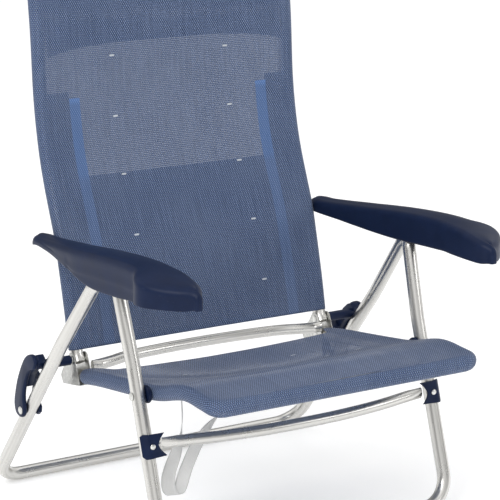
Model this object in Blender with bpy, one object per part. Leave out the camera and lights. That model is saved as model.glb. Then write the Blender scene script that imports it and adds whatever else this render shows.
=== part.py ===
"""Low folding beach chair: tubular frame, mesh slings, moulded armrests and fittings.

Metres, +Z up, the floor is z = 0, the chair faces -Y and is symmetrical about x = 0.
"""
import math

import bmesh
import bpy
from mathutils import Vector

# driving dimensions
TUBE_R = 0.011
CROSS_R = 0.009
WALL = 0.0012
GAP = 0.0003
FRONT_LEG_X = 0.265
REAR_LEG_X = 0.300
RAIL_X = 0.2345
LEG_PIVOT = (-0.115, 0.446)
SEAT_PIVOT = (-0.1715, 0.259)
HINGE = (0.0762, 0.2515)
LINK_PIVOT = (0.1215, 0.1665)
ARM_PIVOT = (0.128, 0.438)
BACK_TOP = 0.900
SLING_T = 0.0010
SIDES = 10
SIDE_NAMES = ((-1, "left"), (1, "right"))

# side profiles, (y, z) from the lower or rear end
BACK_PROFILE = ((0.0748, 0.2455), (0.0839, 0.2650), (0.0949, 0.3200), (0.1145, 0.4000),
                (0.1256, 0.4400), (0.1413, 0.4800), (0.1572, 0.5200), (0.1704, 0.5600),
                (0.1798, 0.6000), (0.1866, 0.6400), (0.1908, 0.6800), (0.1957, 0.7600),
                (0.2043, 0.8400), (0.2095, BACK_TOP))
RAIL_PROFILE = ((0.1130, 0.2175), (0.0000, 0.2362), (-0.0920, 0.2480), (-0.1480, 0.2555),
                (-0.1715, 0.2590), (-0.2000, 0.2655), (-0.2300, 0.2745), (-0.2560, 0.2810),
                (-0.2800, 0.2830), (-0.3050, 0.2815), (-0.3450, 0.2790))
# (y, z) outlines of the link: the arm behind the leg, the yoke below it and the two prongs
LINK_ARM = ((0.0680, 0.2570), (0.0700, 0.2640), (0.0762, 0.2690), (0.0880, 0.2650),
            (0.1010, 0.2550), (0.1170, 0.2360), (0.1310, 0.2130), (0.1170, 0.2060),
            (0.1040, 0.2270), (0.0920, 0.2390), (0.0820, 0.2430), (0.0745, 0.2460))
LINK_YOKE = ((0.1090, 0.2200), (0.1225, 0.2280), (0.1310, 0.2130), (0.1170, 0.2060))
LINK_PRONG = ((0.1090, 0.2200), (0.1225, 0.2280), (0.1310, 0.2130), (0.1400, 0.1900),
              (0.1445, 0.1740), (0.1410, 0.1600), (0.1310, 0.1545), (0.1200, 0.1550),
              (0.1130, 0.1610), (0.1120, 0.1700), (0.1170, 0.1765), (0.1250, 0.1810),
              (0.1250, 0.1900))
# armrest stations: y, inner x, outer x, top z, inner lower z, outer lower z
ARM_STATIONS = ((0.143, 0.2535, 0.2810, 0.4480, 0.4310, 0.4390),
                (0.134, 0.2504, 0.2840, 0.4495, 0.4285, 0.4385),
                (0.100, 0.2510, 0.2880, 0.4500, 0.4275, 0.4385),
                (0.050, 0.2525, 0.2950, 0.4520, 0.4265, 0.4375),
                (0.015, 0.2535, 0.3010, 0.4535, 0.4255, 0.4340),
                (-0.015, 0.2540, 0.3055, 0.4565, 0.4240, 0.4260),
                (-0.045, 0.2545, 0.3105, 0.4610, 0.4225, 0.4160),
                (-0.080, 0.2545, 0.3145, 0.4660, 0.4225, 0.4130),
                (-0.130, 0.2545, 0.3175, 0.4720, 0.4245, 0.4140),
                (-0.190, 0.2535, 0.3200, 0.4760, 0.4275, 0.4165),
                (-0.240, 0.2520, 0.3230, 0.4780, 0.4290, 0.4190),
                (-0.285, 0.2500, 0.3270, 0.4765, 0.4285, 0.4205),
                (-0.330, 0.2505, 0.3270, 0.4710, 0.4290, 0.4225),
                (-0.354, 0.2560, 0.3210, 0.4630, 0.4310, 0.4260),
                (-0.364, 0.2650, 0.3120, 0.4560, 0.4350, 0.4310))
ARM_WALL = 0.0026

COLOURS = {
    "aluminium": (0.60, 0.60, 0.58, 0.28, 1.0),
    "pressed metal": (0.50, 0.50, 0.48, 0.35, 1.0),
    "navy plastic": (0.030, 0.038, 0.085, 0.50, 0.0),
    "black plastic": (0.010, 0.010, 0.012, 0.50, 0.0),
    "mesh fabric": (0.060, 0.100, 0.240, 0.70, 0.0),
    "webbing": (0.580, 0.580, 0.570, 0.80, 0.0),
}


def make_material(name):
    """One Principled material with the named finish."""
    red, green, blue, rough, metal = COLOURS[name]
    material = bpy.data.materials.new(name)
    material.use_nodes = True
    shader = material.node_tree.nodes["Principled BSDF"]
    shader.inputs["Base Color"].default_value = (red, green, blue, 1.0)
    shader.inputs["Roughness"].default_value = rough
    shader.inputs["Metallic"].default_value = metal
    material.diffuse_color = (red, green, blue, 1.0)
    return material


def add_object(name, verts, faces, finish, origin=(0.0, 0.0, 0.0)):
    """A mesh object whose faces point outward, with its origin at the given point."""
    base = Vector(origin)
    mesh = bpy.data.meshes.new(name)
    mesh.from_pydata([tuple(Vector(v) - base) for v in verts], [], faces)
    work = bmesh.new()
    work.from_mesh(mesh)
    bmesh.ops.recalc_face_normals(work, faces=work.faces)
    work.to_mesh(mesh)
    work.free()
    thing = bpy.data.objects.new(name, mesh)
    thing.location = base
    thing.data.materials.append(make_material(finish))
    bpy.context.scene.collection.objects.link(thing)
    return thing


def rounded_path(points, radii, steps=5):
    """A polyline with each inner corner replaced by an arc of the given radius."""
    points = [Vector(p) for p in points]
    out = [points[0]]
    for i in range(1, len(points) - 1):
        here = points[i]
        before = (points[i - 1] - here).normalized()
        after = (points[i + 1] - here).normalized()
        if radii[i] <= 0.0:
            out.append(here)
            continue
        half = before.angle(after) / 2.0
        reach = radii[i] / math.tan(half)
        centre = here + (before + after).normalized() * (radii[i] / math.sin(half))
        first = here + before * reach - centre
        last = here + after * reach - centre
        turn = first.angle(last)
        for k in range(steps + 1):
            a = k / steps
            spoke = (first * math.sin((1 - a) * turn) + last * math.sin(a * turn)) / math.sin(turn)
            out.append(centre + spoke)
    out.append(points[-1])
    return out


def frames(path, start):
    """A pair of cross axes at every point of the path, carried along without twist."""
    out = []
    axis = Vector(start)
    for i, point in enumerate(path):
        ahead = path[min(i + 1, len(path) - 1)] - point
        behind = point - path[max(i - 1, 0)]
        along = (ahead.normalized() + behind.normalized()).normalized()
        axis = (axis - along * axis.dot(along)).normalized()
        out.append((axis.copy(), along.cross(axis)))
    return out


def tube(name, path, radius, finish, start=(1, 0, 0), squash=None, wall=WALL, origin=(0, 0, 0)):
    """A hollow tube along a path; squash gives (across, along) radius factors per point."""
    path = [Vector(p) for p in path]
    axes = frames(path, start)
    squash = squash or [(1.0, 1.0)] * len(path)
    verts = []
    for layer in (0.0, wall):
        for point, (a, b), (fa, fb) in zip(path, axes, squash):
            for k in range(SIDES):
                angle = 2 * math.pi * (k + 0.5) / SIDES
                verts.append(point + a * (math.cos(angle) * (radius * fa - layer))
                             + b * (math.sin(angle) * (radius * fb - layer)))
    rings = len(path)
    faces = []
    for layer in range(2):
        for i in range(rings - 1):
            for k in range(SIDES):
                j = (k + 1) % SIDES
                low = (layer * rings + i) * SIDES
                faces.append((low + k, low + j, low + SIDES + j, low + SIDES + k))
    for i in (0, rings - 1):
        for k in range(SIDES):
            j = (k + 1) % SIDES
            outer = i * SIDES
            inner = (rings + i) * SIDES
            faces.append((outer + k, outer + j, inner + j, inner + k))
    return add_object(name, verts, faces, finish, origin)


def solid_of_rings(name, rings, finish, origin=(0, 0, 0)):
    """A closed solid through equal rings of points, capped at both ends."""
    count = len(rings[0])
    verts = [p for ring in rings for p in ring]
    faces = []
    for i in range(len(rings) - 1):
        for k in range(count):
            j = (k + 1) % count
            low = i * count
            faces.append((low + k, low + j, low + count + j, low + count + k))
    faces.append(tuple(range(count)))
    faces.append(tuple(range((len(rings) - 1) * count, len(rings) * count)))
    return add_object(name, verts, faces, finish, origin)


def turned_x(name, y, z, profile, finish, sides=12):
    """A solid of revolution about an axis along X; the profile is a list of (x, radius)."""
    rings = []
    for x, radius in profile:
        rings.append([(x, y + radius * math.cos(2 * math.pi * k / sides),
                       z + radius * math.sin(2 * math.pi * k / sides)) for k in range(sides)])
    return solid_of_rings(name, rings, finish, (0.0, y, z))


def prism_x(name, outline, low, high, finish, origin=(0, 0, 0)):
    """A flat piece with a (y, z) outline between two x values."""
    rings = [[(x, y, z) for y, z in outline] for x in (low, high)]
    return solid_of_rings(name, rings, finish, origin)


def capsule(first, last, r_first, r_last, steps=6):
    """The (y, z) outline of a bar with round ends of two radii."""
    dy = last[0] - first[0]
    dz = last[1] - first[1]
    length = math.hypot(dy, dz)
    heading = math.atan2(dz, dy)
    lean = math.asin((r_first - r_last) / length)
    out = []
    for k in range(steps + 1):
        a = heading + math.pi / 2 - lean + (math.pi + 2 * lean) * k / steps
        out.append((first[0] + r_first * math.cos(a), first[1] + r_first * math.sin(a)))
    for k in range(steps + 1):
        a = heading - math.pi / 2 + lean + (math.pi - 2 * lean) * k / steps
        out.append((last[0] + r_last * math.cos(a), last[1] + r_last * math.sin(a)))
    return out


def combine(target, other, operation):
    """Boolean with the exact solver, then drop the second piece."""
    mod = target.modifiers.new(operation, "BOOLEAN")
    mod.operation = operation
    mod.solver = "EXACT"
    mod.object = other
    with bpy.context.temp_override(object=target, active_object=target):
        bpy.ops.object.modifier_apply(modifier=mod.name)
    bpy.data.objects.remove(other)
    return target


def drill_x(target, y, z, low, high, radius, sides=8):
    """A round hole along X through the target."""
    cutter = turned_x("cutter", y, z, ((low, radius), (high, radius)), "black plastic", sides)
    cutter.hide_render = True
    cutter.display_type = "WIRE"
    bpy.context.view_layer.update()
    return combine(target, cutter, "DIFFERENCE")


def pin_x(name, y, z, side, inner, outer, shank=0.0030, head=0.0065, cap=0.0020):
    """A rivet along X: a head beyond each end of the stack it holds."""
    a = inner - cap
    b = outer + cap
    profile = ((a, head * 0.6), (a + cap * 0.5, head), (inner, head), (inner, shank),
               (outer, shank), (outer, head), (b - cap * 0.5, head), (b, head * 0.6))
    return turned_x(name, y, z, [(side * x, r) for x, r in profile], "aluminium", 8)


def mirrored(points):
    """Points of the left half followed by their mirror images in reverse."""
    return list(points) + [(-x, y, z) for x, y, z in reversed(points)]


def thicken(name, verts, faces, thickness, finish, origin=(0, 0, 0)):
    """A sheet given thickness to both sides of its middle surface."""
    mesh = bpy.data.meshes.new("sheet")
    mesh.from_pydata([tuple(v) for v in verts], [], faces)
    work = bmesh.new()
    work.from_mesh(mesh)
    bmesh.ops.recalc_face_normals(work, faces=work.faces)
    work.normal_update()
    normals = [v.normal.copy() for v in work.verts]
    loops = [tuple(v.index for v in f.verts) for f in work.faces]
    edges = [tuple(v.index for v in e.verts) for e in work.edges if e.is_boundary]
    work.free()
    count = len(verts)
    half = thickness / 2
    points = [Vector(v) + n * half for v, n in zip(verts, normals)]
    points += [Vector(v) - n * half for v, n in zip(verts, normals)]
    sides = list(loops) + [tuple(i + count for i in reversed(f)) for f in loops]
    sides += [(a, b, b + count, a + count) for a, b in edges]
    return add_object(name, points, sides, finish, origin)


def build_legs():
    """The two U-shaped leg tubes, their tops pressed flat side by side."""
    y, z = LEG_PIVOT
    front = rounded_path([(-0.2730, y - 0.001, z + 0.012), (-0.2728, y - 0.0035, z - 0.012),
                          (-0.2700, -0.1260, 0.4120), (-0.2650, -0.1595, 0.3000),
                          (-0.2650, -0.2517, 0.0110), (0.0, -0.2517, 0.0110)],
                         (0, 0, 0.0, 0.20, 0.050, 0))[:-1]
    path = mirrored(front)
    ends = [(0.42, 1.15), (0.42, 1.15)] + [(1.0, 1.0)] * (len(front) - 2)
    tube("front_leg_tube", path, TUBE_R, "aluminium", squash=ends + ends[::-1])
    rear = rounded_path([(-0.2855, y - 0.010, z + 0.012), (-0.2858, y + 0.011, z - 0.013),
                         (-0.2895, -0.0800, 0.4090), (-0.2985, 0.0098, 0.3000),
                         (-0.3000, 0.2530, 0.0110), (0.0, 0.2530, 0.0110)],
                        (0, 0, 0.0, 0.20, 0.045, 0))[:-1]
    path = mirrored(rear)
    ends = [(0.42, 1.15), (0.42, 1.15)] + [(1.0, 1.0)] * (len(rear) - 2)
    tube("rear_leg_tube", path, TUBE_R, "aluminium", squash=ends + ends[::-1],
         origin=(0.0, y, z))


def build_front_cross():
    """The bowed tube between the front legs and the two saddle clamps that hold it."""
    height = 0.1885
    leg_y = -0.1955
    seat_y = leg_y - TUBE_R - 0.0010
    half = [(-0.2420, seat_y + 0.006, height), (-0.2100, seat_y + 0.001, height),
            (-0.1500, seat_y - 0.010, height - 0.001), (-0.0750, seat_y - 0.017, height - 0.002),
            (-0.0200, seat_y - 0.019, height - 0.002)]
    path = mirrored(half)
    tube("front_cross_tube", path, CROSS_R, "aluminium", start=(0, 0, 1))
    for side, word in SIDE_NAMES:
        inner = FRONT_LEG_X - 0.0255
        outer = FRONT_LEG_X + 0.0145
        low = height - 0.0185
        high = height + 0.0185
        lean = (0.2517 - 0.1595) / (0.300 - 0.011)
        outline = [(inner, low), (outer - 0.008, low), (outer, low + 0.008), (outer, high - 0.008),
                   (outer - 0.008, high), (inner, high), (inner + 0.010, height + 0.007),
                   (inner + 0.013, height), (inner + 0.010, height - 0.007)]
        rings = []
        for depth in (TUBE_R + 0.0010, TUBE_R + 0.0045):
            rings.append([(side * x, leg_y - depth + lean * (z - height), z)
                          for x, z in outline])
        solid_of_rings("clamp_" + word, rings, "navy plastic")


def build_seat_frame():
    """The seat tube, the rear cross tube and the fittings fixed to them."""
    half = [(-RAIL_X, y, z) for y, z in RAIL_PROFILE] + [(0.0,) + RAIL_PROFILE[-1]]
    radii = [0.0] * len(half)
    radii[-2] = 0.042
    path = mirrored(rounded_path(half, radii)[:-1])
    seat = tube("seat_frame_tube", path, TUBE_R, "aluminium",
                origin=(0.0, SEAT_PIVOT[0], SEAT_PIVOT[1]))
    y, z = HINGE
    half = [(-0.2203, y - 0.0200, z - 0.0090), (-0.2050, y - 0.0190, z - 0.0088),
            (-0.1800, y - 0.0130, z - 0.0086), (-0.1400, y - 0.0010, z - 0.0084),
            (-0.0500, y + 0.0070, z - 0.0084)]
    tube("rear_cross_tube", mirrored(half), CROSS_R, "aluminium", start=(0, 0, 1))
    for side, word in SIDE_NAMES:
        end_y, end_z = RAIL_PROFILE[0]
        rings = []
        for step, radius in ((0.0018, TUBE_R - 0.0005), (0.0050, TUBE_R - 0.0015)):
            rings.append([(side * RAIL_X + radius * math.cos(2 * math.pi * k / 10),
                           end_y + step, end_z + radius * math.sin(2 * math.pi * k / 10))
                          for k in range(10)])
        solid_of_rings("seat_plug_" + word, rings, "black plastic")
        build_bracket(side, word)
    return seat


def build_bracket(side, word):
    """A pressed channel that holds the rail from below and the backrest between its cheeks."""
    y, z = HINGE
    outline = [(y - 0.008, z + 0.0075), (y - 0.002, z + 0.0105), (y + 0.0075, z + 0.0090),
               (y + 0.0160, z - 0.0050), (y + 0.0300, z - 0.0210), (y + 0.0380, z - 0.0340),
               (y + 0.0300, z - 0.0466), (y - 0.0260, z - 0.0374), (y - 0.0250, z - 0.0300),
               (y - 0.0160, z - 0.0120)]
    reach = TUBE_R + 0.0004
    cheek = 0.0014
    body = prism_x("bracket_" + word, outline, side * (RAIL_X - reach - cheek),
                   side * (RAIL_X - reach), "pressed metal")
    other = prism_x("cheek", outline, side * (RAIL_X + reach), side * (RAIL_X + reach + cheek),
                    "pressed metal")
    web = [(y - 0.0260, z - 0.0374), (y + 0.0300, z - 0.0466), (y + 0.0300, z - 0.0453),
           (y - 0.0259, z - 0.0361)]
    floor = prism_x("web", web, side * (RAIL_X - reach - cheek * 0.5),
                    side * (RAIL_X + reach + cheek * 0.5), "pressed metal")
    combine(body, floor, "UNION")
    combine(body, other, "UNION")
    drill_x(body, y, z, side * 0.20, side * 0.27, 0.0033)
    drill_x(body, y - 0.003, z - 0.0272, side * 0.20, side * 0.27, 0.0033)
    return body


def build_back_frame():
    """The backrest tube, an upright loop with a slight forward curve."""
    half = [(-RAIL_X, y, z) for y, z in BACK_PROFILE] + [(0.0,) + BACK_PROFILE[-1]]
    radii = [0.0] * len(half)
    radii[-2] = 0.055
    path = mirrored(rounded_path(half, radii)[:-1])
    return tube("back_frame_tube", path, TUBE_R, "aluminium", origin=(0.0,) + HINGE)


def build_seat_sling():
    """The seat fabric: over the rails, round their outer sides, and over the front bar."""
    ring = TUBE_R + 2 * GAP + SLING_T / 2
    stops = [(0.0300, 0.23124)] + list(RAIL_PROFILE[1:9]) + [(-0.2990, 0.28164)]
    rows = []
    for i, (y, z) in enumerate(stops):
        ty, tz = rail_tangent(stops, i)
        dip = 0.003 + 0.020 * math.sin(math.pi * (0.030 - y) / 0.375)
        rows.append(cross_row(y, z, (-tz, ty), ring, -dip))
    bar_y, bar_z = RAIL_PROFILE[-1]
    flap = []
    for turn in (90, 126, 162, 198, 234, 270):
        a = math.radians(turn)
        flap.append([(RAIL_X * (k / 4.0 - 1.0), bar_y + ring * math.cos(a),
                      bar_z + ring * math.sin(a)) for k in range(1, 8)])
    return sheet_from_rows("seat_sling", rows, flap, (0.0,) + SEAT_PIVOT)


def build_back_sling():
    """The back fabric: round the outer sides of the tube and over its top bar."""
    ring = TUBE_R + 2 * GAP + SLING_T / 2
    stops = list(BACK_PROFILE[1:13])
    rows = []
    for i, (y, z) in enumerate(stops):
        ty, tz = rail_tangent(stops, i)
        dip = 0.004 + 0.010 * math.sin(math.pi * i / (len(stops) - 1))
        rows.append(cross_row(y, z, (-tz, ty), ring, -dip))
    bar_y, bar_z = BACK_PROFILE[-1]
    flap = []
    for turn in (180, 144, 108, 72, 36, 0):
        a = math.radians(turn)
        flap.append([(RAIL_X * (k / 4.0 - 1.0), bar_y + ring * math.cos(a),
                      bar_z + ring * math.sin(a)) for k in range(1, 8)])
    return sheet_from_rows("back_sling", rows, flap, (0.0,) + HINGE)


def rail_tangent(stops, i):
    """Unit direction of a (y, z) polyline at one of its points."""
    before = stops[max(i - 1, 0)]
    after = stops[min(i + 1, len(stops) - 1)]
    step = math.hypot(after[0] - before[0], after[1] - before[1])
    return (after[0] - before[0]) / step, (after[1] - before[1]) / step


def cross_row(y, z, up, ring, dip):
    """One row across the chair; up is the (y, z) side of the rail the sheet lies on."""
    row = []
    for k in range(6):
        a = math.radians(-90 + 36 * k)
        row.append((-RAIL_X - ring * math.cos(a), ring * math.sin(a)))
    for k in range(1, 8):
        t = k / 8
        row.append((RAIL_X * (2 * t - 1), ring + dip * 4 * t * (1 - t)))
    row += [(-x, h) for x, h in reversed(row[:6])]
    return [(x, y + up[0] * h, z + up[1] * h) for x, h in row]


def sheet_from_rows(name, rows, flap, origin):
    """Join rows of points into a sheet; the flap rows continue only its middle columns."""
    count = len(rows[0])
    verts = [p for row in rows for p in row]
    faces = []
    for i in range(len(rows) - 1):
        for k in range(count - 1):
            low = i * count + k
            faces.append((low, low + 1, low + count + 1, low + count))
    last = [(len(rows) - 1) * count + 6 + k for k in range(7)]
    for row in flap:
        now = [len(verts) + k for k in range(7)]
        verts += row
        for k in range(6):
            faces.append((last[k], last[k + 1], now[k + 1], now[k]))
        last = now
    return thicken(name, verts, faces, SLING_T, "mesh fabric", origin)


def build_links():
    """The plastic arms from the hinge pin to the rear legs, forked round the leg."""
    for side, word in SIDE_NAMES:
        y, z = HINGE
        body = prism_x("link_" + word, LINK_ARM, side * 0.2965, side * 0.3095, "navy plastic",
                       (0.0,) + LINK_PIVOT)
        yoke = prism_x("yoke", LINK_YOKE, side * 0.2860, side * 0.3140, "navy plastic")
        combine(body, yoke, "UNION")
        for low, high in ((0.2825, 0.2885), (0.3115, 0.3175)):
            prong = prism_x("prong", LINK_PRONG, side * low, side * high, "navy plastic")
            combine(body, prong, "UNION")
        shaft = turned_x("shaft", y, z, ((side * 0.2500, 0.0080),
                                         (side * 0.3090, 0.0080)),
                         "navy plastic", 10)
        combine(body, shaft, "UNION")
        drill_x(body, LINK_PIVOT[0], LINK_PIVOT[1], side * 0.25, side * 0.33, 0.0033)


def build_armrests():
    """The moulded armrests: shells open underneath, wide and rounded at the front."""
    for side, word in SIDE_NAMES:
        outer = [arm_ring(side, station, 0.0) for station in ARM_STATIONS]
        inner = [arm_ring(side, station, ARM_WALL) for station in ARM_STATIONS]
        inner[0] = [(x, y - ARM_WALL, z) for x, y, z in inner[0]]
        inner[-1] = [(x, y + ARM_WALL, z) for x, y, z in inner[-1]]
        count = len(outer[0])
        rings = len(outer)
        verts = [p for ring in outer + inner for p in ring]
        faces = []
        for layer in (0, rings):
            for i in range(rings - 1):
                for k in range(count - 1):
                    low = (layer + i) * count + k
                    faces.append((low, low + 1, low + count + 1, low + count))
            for i in (0, rings - 1):
                ring = (layer + i) * count
                for k in range(1, count - 2):
                    faces.append((ring, ring + k, ring + k + 1))
                faces.append((ring, ring + count - 2, ring + count - 1))
        for i in range(rings - 1):
            for k in (0, count - 1):
                a = i * count + k
                b = (rings + i) * count + k
                faces.append((a, a + count, b + count, b))
        for i in (0, rings - 1):
            a = i * count
            b = (rings + i) * count
            faces.append((a, a + count - 1, b + count - 1, b))
        add_object("armrest_" + word, verts, faces, "navy plastic", (0.0,) + ARM_PIVOT)


def arm_ring(side, station, inset):
    """One cross-section of an armrest, from its inner lower edge over the top."""
    y, x_in, x_out, top, low_in, low_out = station
    x_in += inset
    x_out -= inset
    top -= inset
    corner = max(0.0075 - inset, 0.004)
    row = [(x_in, low_in), (x_in, top - corner - 0.003)]
    for k in range(1, 4):
        a = math.radians(180 - 30 * k)
        row.append((x_in + corner + corner * math.cos(a), top - 0.003 - corner
                    + corner * math.sin(a)))
    row[-1] = (x_in + corner, top - 0.0030)
    middle = (x_in + x_out) / 2
    row.append((middle, top + 0.0005))
    row.append((x_out - corner, top - 0.0020))
    for k in range(1, 3):
        a = math.radians(90 - 30 * k)
        row.append((x_out - corner + corner * math.cos(a), top - 0.002 - corner
                    + corner * math.sin(a)))
    row.append((x_out, top - corner - 0.004))
    row.append((x_out, low_out))
    return [(side * x, y, z) for x, z in row]


def build_strap():
    """The webbing strap hanging in a loop below the front of the seat."""
    route = ((-0.1930, -0.178, 0.2480), (-0.1920, -0.178, 0.2050), (-0.2020, -0.178, 0.1650),
             (-0.2180, -0.180, 0.1250), (-0.2160, -0.181, 0.1000), (-0.2020, -0.182, 0.0970),
             (-0.1850, -0.180, 0.1350), (-0.1560, -0.177, 0.1800), (-0.1150, -0.172, 0.2080),
             (-0.0400, -0.170, 0.2130), (0.1000, -0.169, 0.2150), (0.1900, -0.168, 0.2250),
             (0.2190, -0.168, 0.2390))
    rows = []
    for x, y, z in route:
        rows.append([(x, y - 0.011, z), (x, y, z), (x, y + 0.011, z)])
    count = 3
    verts = [p for row in rows for p in row]
    faces = []
    for i in range(len(rows) - 1):
        for k in range(count - 1):
            low = i * count + k
            faces.append((low, low + 1, low + count + 1, low + count))
    return thicken("carry_strap", verts, faces, 0.0014, "webbing")


def build_fasteners():
    """Spacers and rivets, with the holes they pass through."""
    find = bpy.data.objects
    for side, word in SIDE_NAMES:
        y, z = SEAT_PIVOT
        spacer = turned_x("spacer_" + word, y, z,
                          ((side * (RAIL_X + TUBE_R + SLING_T + 4 * GAP), 0.0140),
                           (side * (FRONT_LEG_X - TUBE_R - GAP), 0.0140)), "navy plastic", 14)
        for thing in (spacer, find["front_leg_tube"], find["seat_frame_tube"], find["seat_sling"]):
            drill_x(thing, y, z, side * 0.215, side * 0.285, 0.0033)
        pin_x("seat_rivet_" + word, y, z, side, RAIL_X - TUBE_R - GAP, FRONT_LEG_X + TUBE_R + GAP)
        y, z = HINGE
        drill_x(find["back_frame_tube"], y, z, side * 0.215, side * 0.26, 0.0033)
        pin_x("hinge_rivet_" + word, y, z, side, RAIL_X - TUBE_R - 0.0021,
              RAIL_X + TUBE_R + 0.0021, cap=0.0018)
        drill_x(find["seat_frame_tube"], y - 0.003, z - 0.0272, side * 0.215, side * 0.26, 0.0033)
        pin_x("bracket_rivet_" + word, y - 0.003, z - 0.0272, side, RAIL_X - TUBE_R - 0.0021,
              RAIL_X + TUBE_R + 0.0021, cap=0.0010)
        y, z = LINK_PIVOT
        drill_x(find["rear_leg_tube"], y, z, side * 0.28, side * 0.33, 0.0033)
        pin_x("link_rivet_" + word, y, z, side, 0.2822, 0.3178)
        y, z = LEG_PIVOT
        drill_x(find["front_leg_tube"], y, z, side * 0.262, side * 0.283, 0.0033)
        drill_x(find["rear_leg_tube"], y, z, side * 0.272, side * 0.295, 0.0033)
        pin_x("leg_rivet_" + word, y, z, side, 0.2730 - 0.0050, 0.2855 + 0.0050)
        y, z = ARM_PIVOT
        for thing in (find["back_frame_tube"], find["armrest_" + word], find["back_sling"]):
            drill_x(thing, y, z, side * 0.215, side * 0.262, 0.0033)
        pin_x("arm_rivet_" + word, y, z, side, RAIL_X - TUBE_R - GAP, 0.2504 + 0.0040, head=0.0040)


def main():
    """Build every piece in its rest position."""
    for thing in list(bpy.data.objects):
        bpy.data.objects.remove(thing)
    build_legs()
    build_front_cross()
    build_seat_frame()
    build_back_frame()
    build_seat_sling()
    build_back_sling()
    build_links()
    build_armrests()
    build_strap()
    build_fasteners()


main()
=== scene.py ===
"""Looks of a low folding beach chair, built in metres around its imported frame."""
import math

import bmesh
import bpy
from bpy.props import FloatProperty, FloatVectorProperty, PointerProperty
from mathutils import Matrix, Vector, noise


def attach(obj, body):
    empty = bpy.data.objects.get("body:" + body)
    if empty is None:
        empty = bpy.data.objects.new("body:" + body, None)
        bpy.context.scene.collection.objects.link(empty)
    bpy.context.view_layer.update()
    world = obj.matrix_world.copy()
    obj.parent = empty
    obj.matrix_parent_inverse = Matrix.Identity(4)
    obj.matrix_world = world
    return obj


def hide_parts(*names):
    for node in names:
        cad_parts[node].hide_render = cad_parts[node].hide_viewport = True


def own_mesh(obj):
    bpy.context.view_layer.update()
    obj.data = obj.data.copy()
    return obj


bl_info = {
    "name": "Folding Beach Chair",
    "version": (1, 0, 0),
    "blender": (4, 5, 0),
    "location": "3D View > Sidebar > Chair",
    "description": "Tubes, slings, armrests and fittings of a low folding beach chair",
    "category": "Add Mesh",
}

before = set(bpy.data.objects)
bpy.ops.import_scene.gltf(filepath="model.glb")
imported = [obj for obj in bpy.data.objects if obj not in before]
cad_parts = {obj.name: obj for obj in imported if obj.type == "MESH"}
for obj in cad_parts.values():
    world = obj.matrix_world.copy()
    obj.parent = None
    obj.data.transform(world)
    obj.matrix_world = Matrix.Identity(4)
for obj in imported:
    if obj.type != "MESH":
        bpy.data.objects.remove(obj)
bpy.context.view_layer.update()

# stations (y, z) of the frame: the back from its lower end, the seat rail from its rear end
BACK_PROFILE = ((0.0748, 0.2455), (0.0839, 0.2650), (0.0949, 0.3200), (0.1145, 0.4000),
                (0.1256, 0.4400), (0.1413, 0.4800), (0.1572, 0.5200), (0.1704, 0.5600),
                (0.1798, 0.6000), (0.1866, 0.6400), (0.1908, 0.6800), (0.1957, 0.7600),
                (0.2043, 0.8400), (0.2095, 0.9000))
RAIL_PROFILE = ((0.1130, 0.2175), (0.0000, 0.2362), (-0.0920, 0.2480), (-0.1480, 0.2555),
                (-0.1715, 0.2590), (-0.2000, 0.2655), (-0.2300, 0.2745), (-0.2560, 0.2810),
                (-0.2800, 0.2830), (-0.3050, 0.2815), (-0.3450, 0.2790))
RAIL_X = 0.2345
FRONT_LEG_X = 0.265
LEG_PIVOT = (-0.115, 0.446)
SEAT_PIVOT = (-0.1715, 0.259)
HINGE = (0.0762, 0.2515)
LINK_PIVOT = (0.1215, 0.1665)
ARM_PIVOT = (0.128, 0.438)
BACK_CORNER = 0.055
SEAT_CORNER = 0.042
SIDES = ((-1, "left"), (1, "right"))
CLAMP_HEIGHT = 0.1885
PRESSED = (0.42, 1.15)      # ring scales where a leg tube is pressed flat
CLOTH_LIFT = 0.0009         # middle of the cloth above the tube it lies on
POCKET_HALF = 0.2225
LINING_HALF = 0.1795
SLEEVE_IN, SLEEVE_OUT = 0.187, 0.233
POCKET_FOOT, SLEEVE_TOP, LINING_TOP = 0.722, 0.663, 0.528
WELD_X, WELD_HALF, WELD_TOP = 0.178, 0.0106, 0.404
BAND_FOOT = (0.262, 0.280)  # where the welded strips brighten above the lower lining


class ChairSizes(bpy.types.PropertyGroup):
    """Sizes of the tubes, cloth and plastic walls."""
    tube: FloatProperty(name="Frame tube", description="Outer diameter of the frame tubes",
                        default=0.022, min=0.018, max=0.023, unit="LENGTH")
    cross: FloatProperty(name="Cross tube", description="Outer diameter of the cross tubes",
                         default=0.018, min=0.014, max=0.0185, unit="LENGTH")
    cloth: FloatProperty(name="Cloth", description="Thickness of the mesh cloth",
                         default=0.0008, min=0.0004, max=0.0012, unit="LENGTH")
    webbing: FloatProperty(name="Strap", description="Width of the webbing strap",
                           default=0.022, min=0.015, max=0.025, unit="LENGTH")
    wall: FloatProperty(name="Armrest wall", description="Wall of the armrest shells",
                        default=0.0024, min=0.0015, max=0.0030, unit="LENGTH")


class ChairCloth(bpy.types.PropertyGroup):
    """Colours and pitch of the woven mesh."""
    ground: FloatVectorProperty(name="Ground yarn", description="Colour of the dark yarn",
                                subtype="COLOR", size=3, min=0, max=1,
                                default=(0.024, 0.050, 0.125))
    pick: FloatVectorProperty(name="Light yarn", description="Colour of the light yarn",
                              subtype="COLOR", size=3, min=0, max=1,
                              default=(0.200, 0.255, 0.385))
    weld: FloatVectorProperty(name="Weld", description="Colour of the welded strips",
                              subtype="COLOR", size=3, min=0, max=1,
                              default=(0.045, 0.115, 0.290))
    across: FloatProperty(name="Pitch across", description="Repeat of the weave across",
                          default=0.0036, min=0.001, max=0.01, unit="LENGTH")
    along: FloatProperty(name="Pitch along", description="Repeat of the weave along",
                         default=0.0062, min=0.001, max=0.01, unit="LENGTH")


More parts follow.
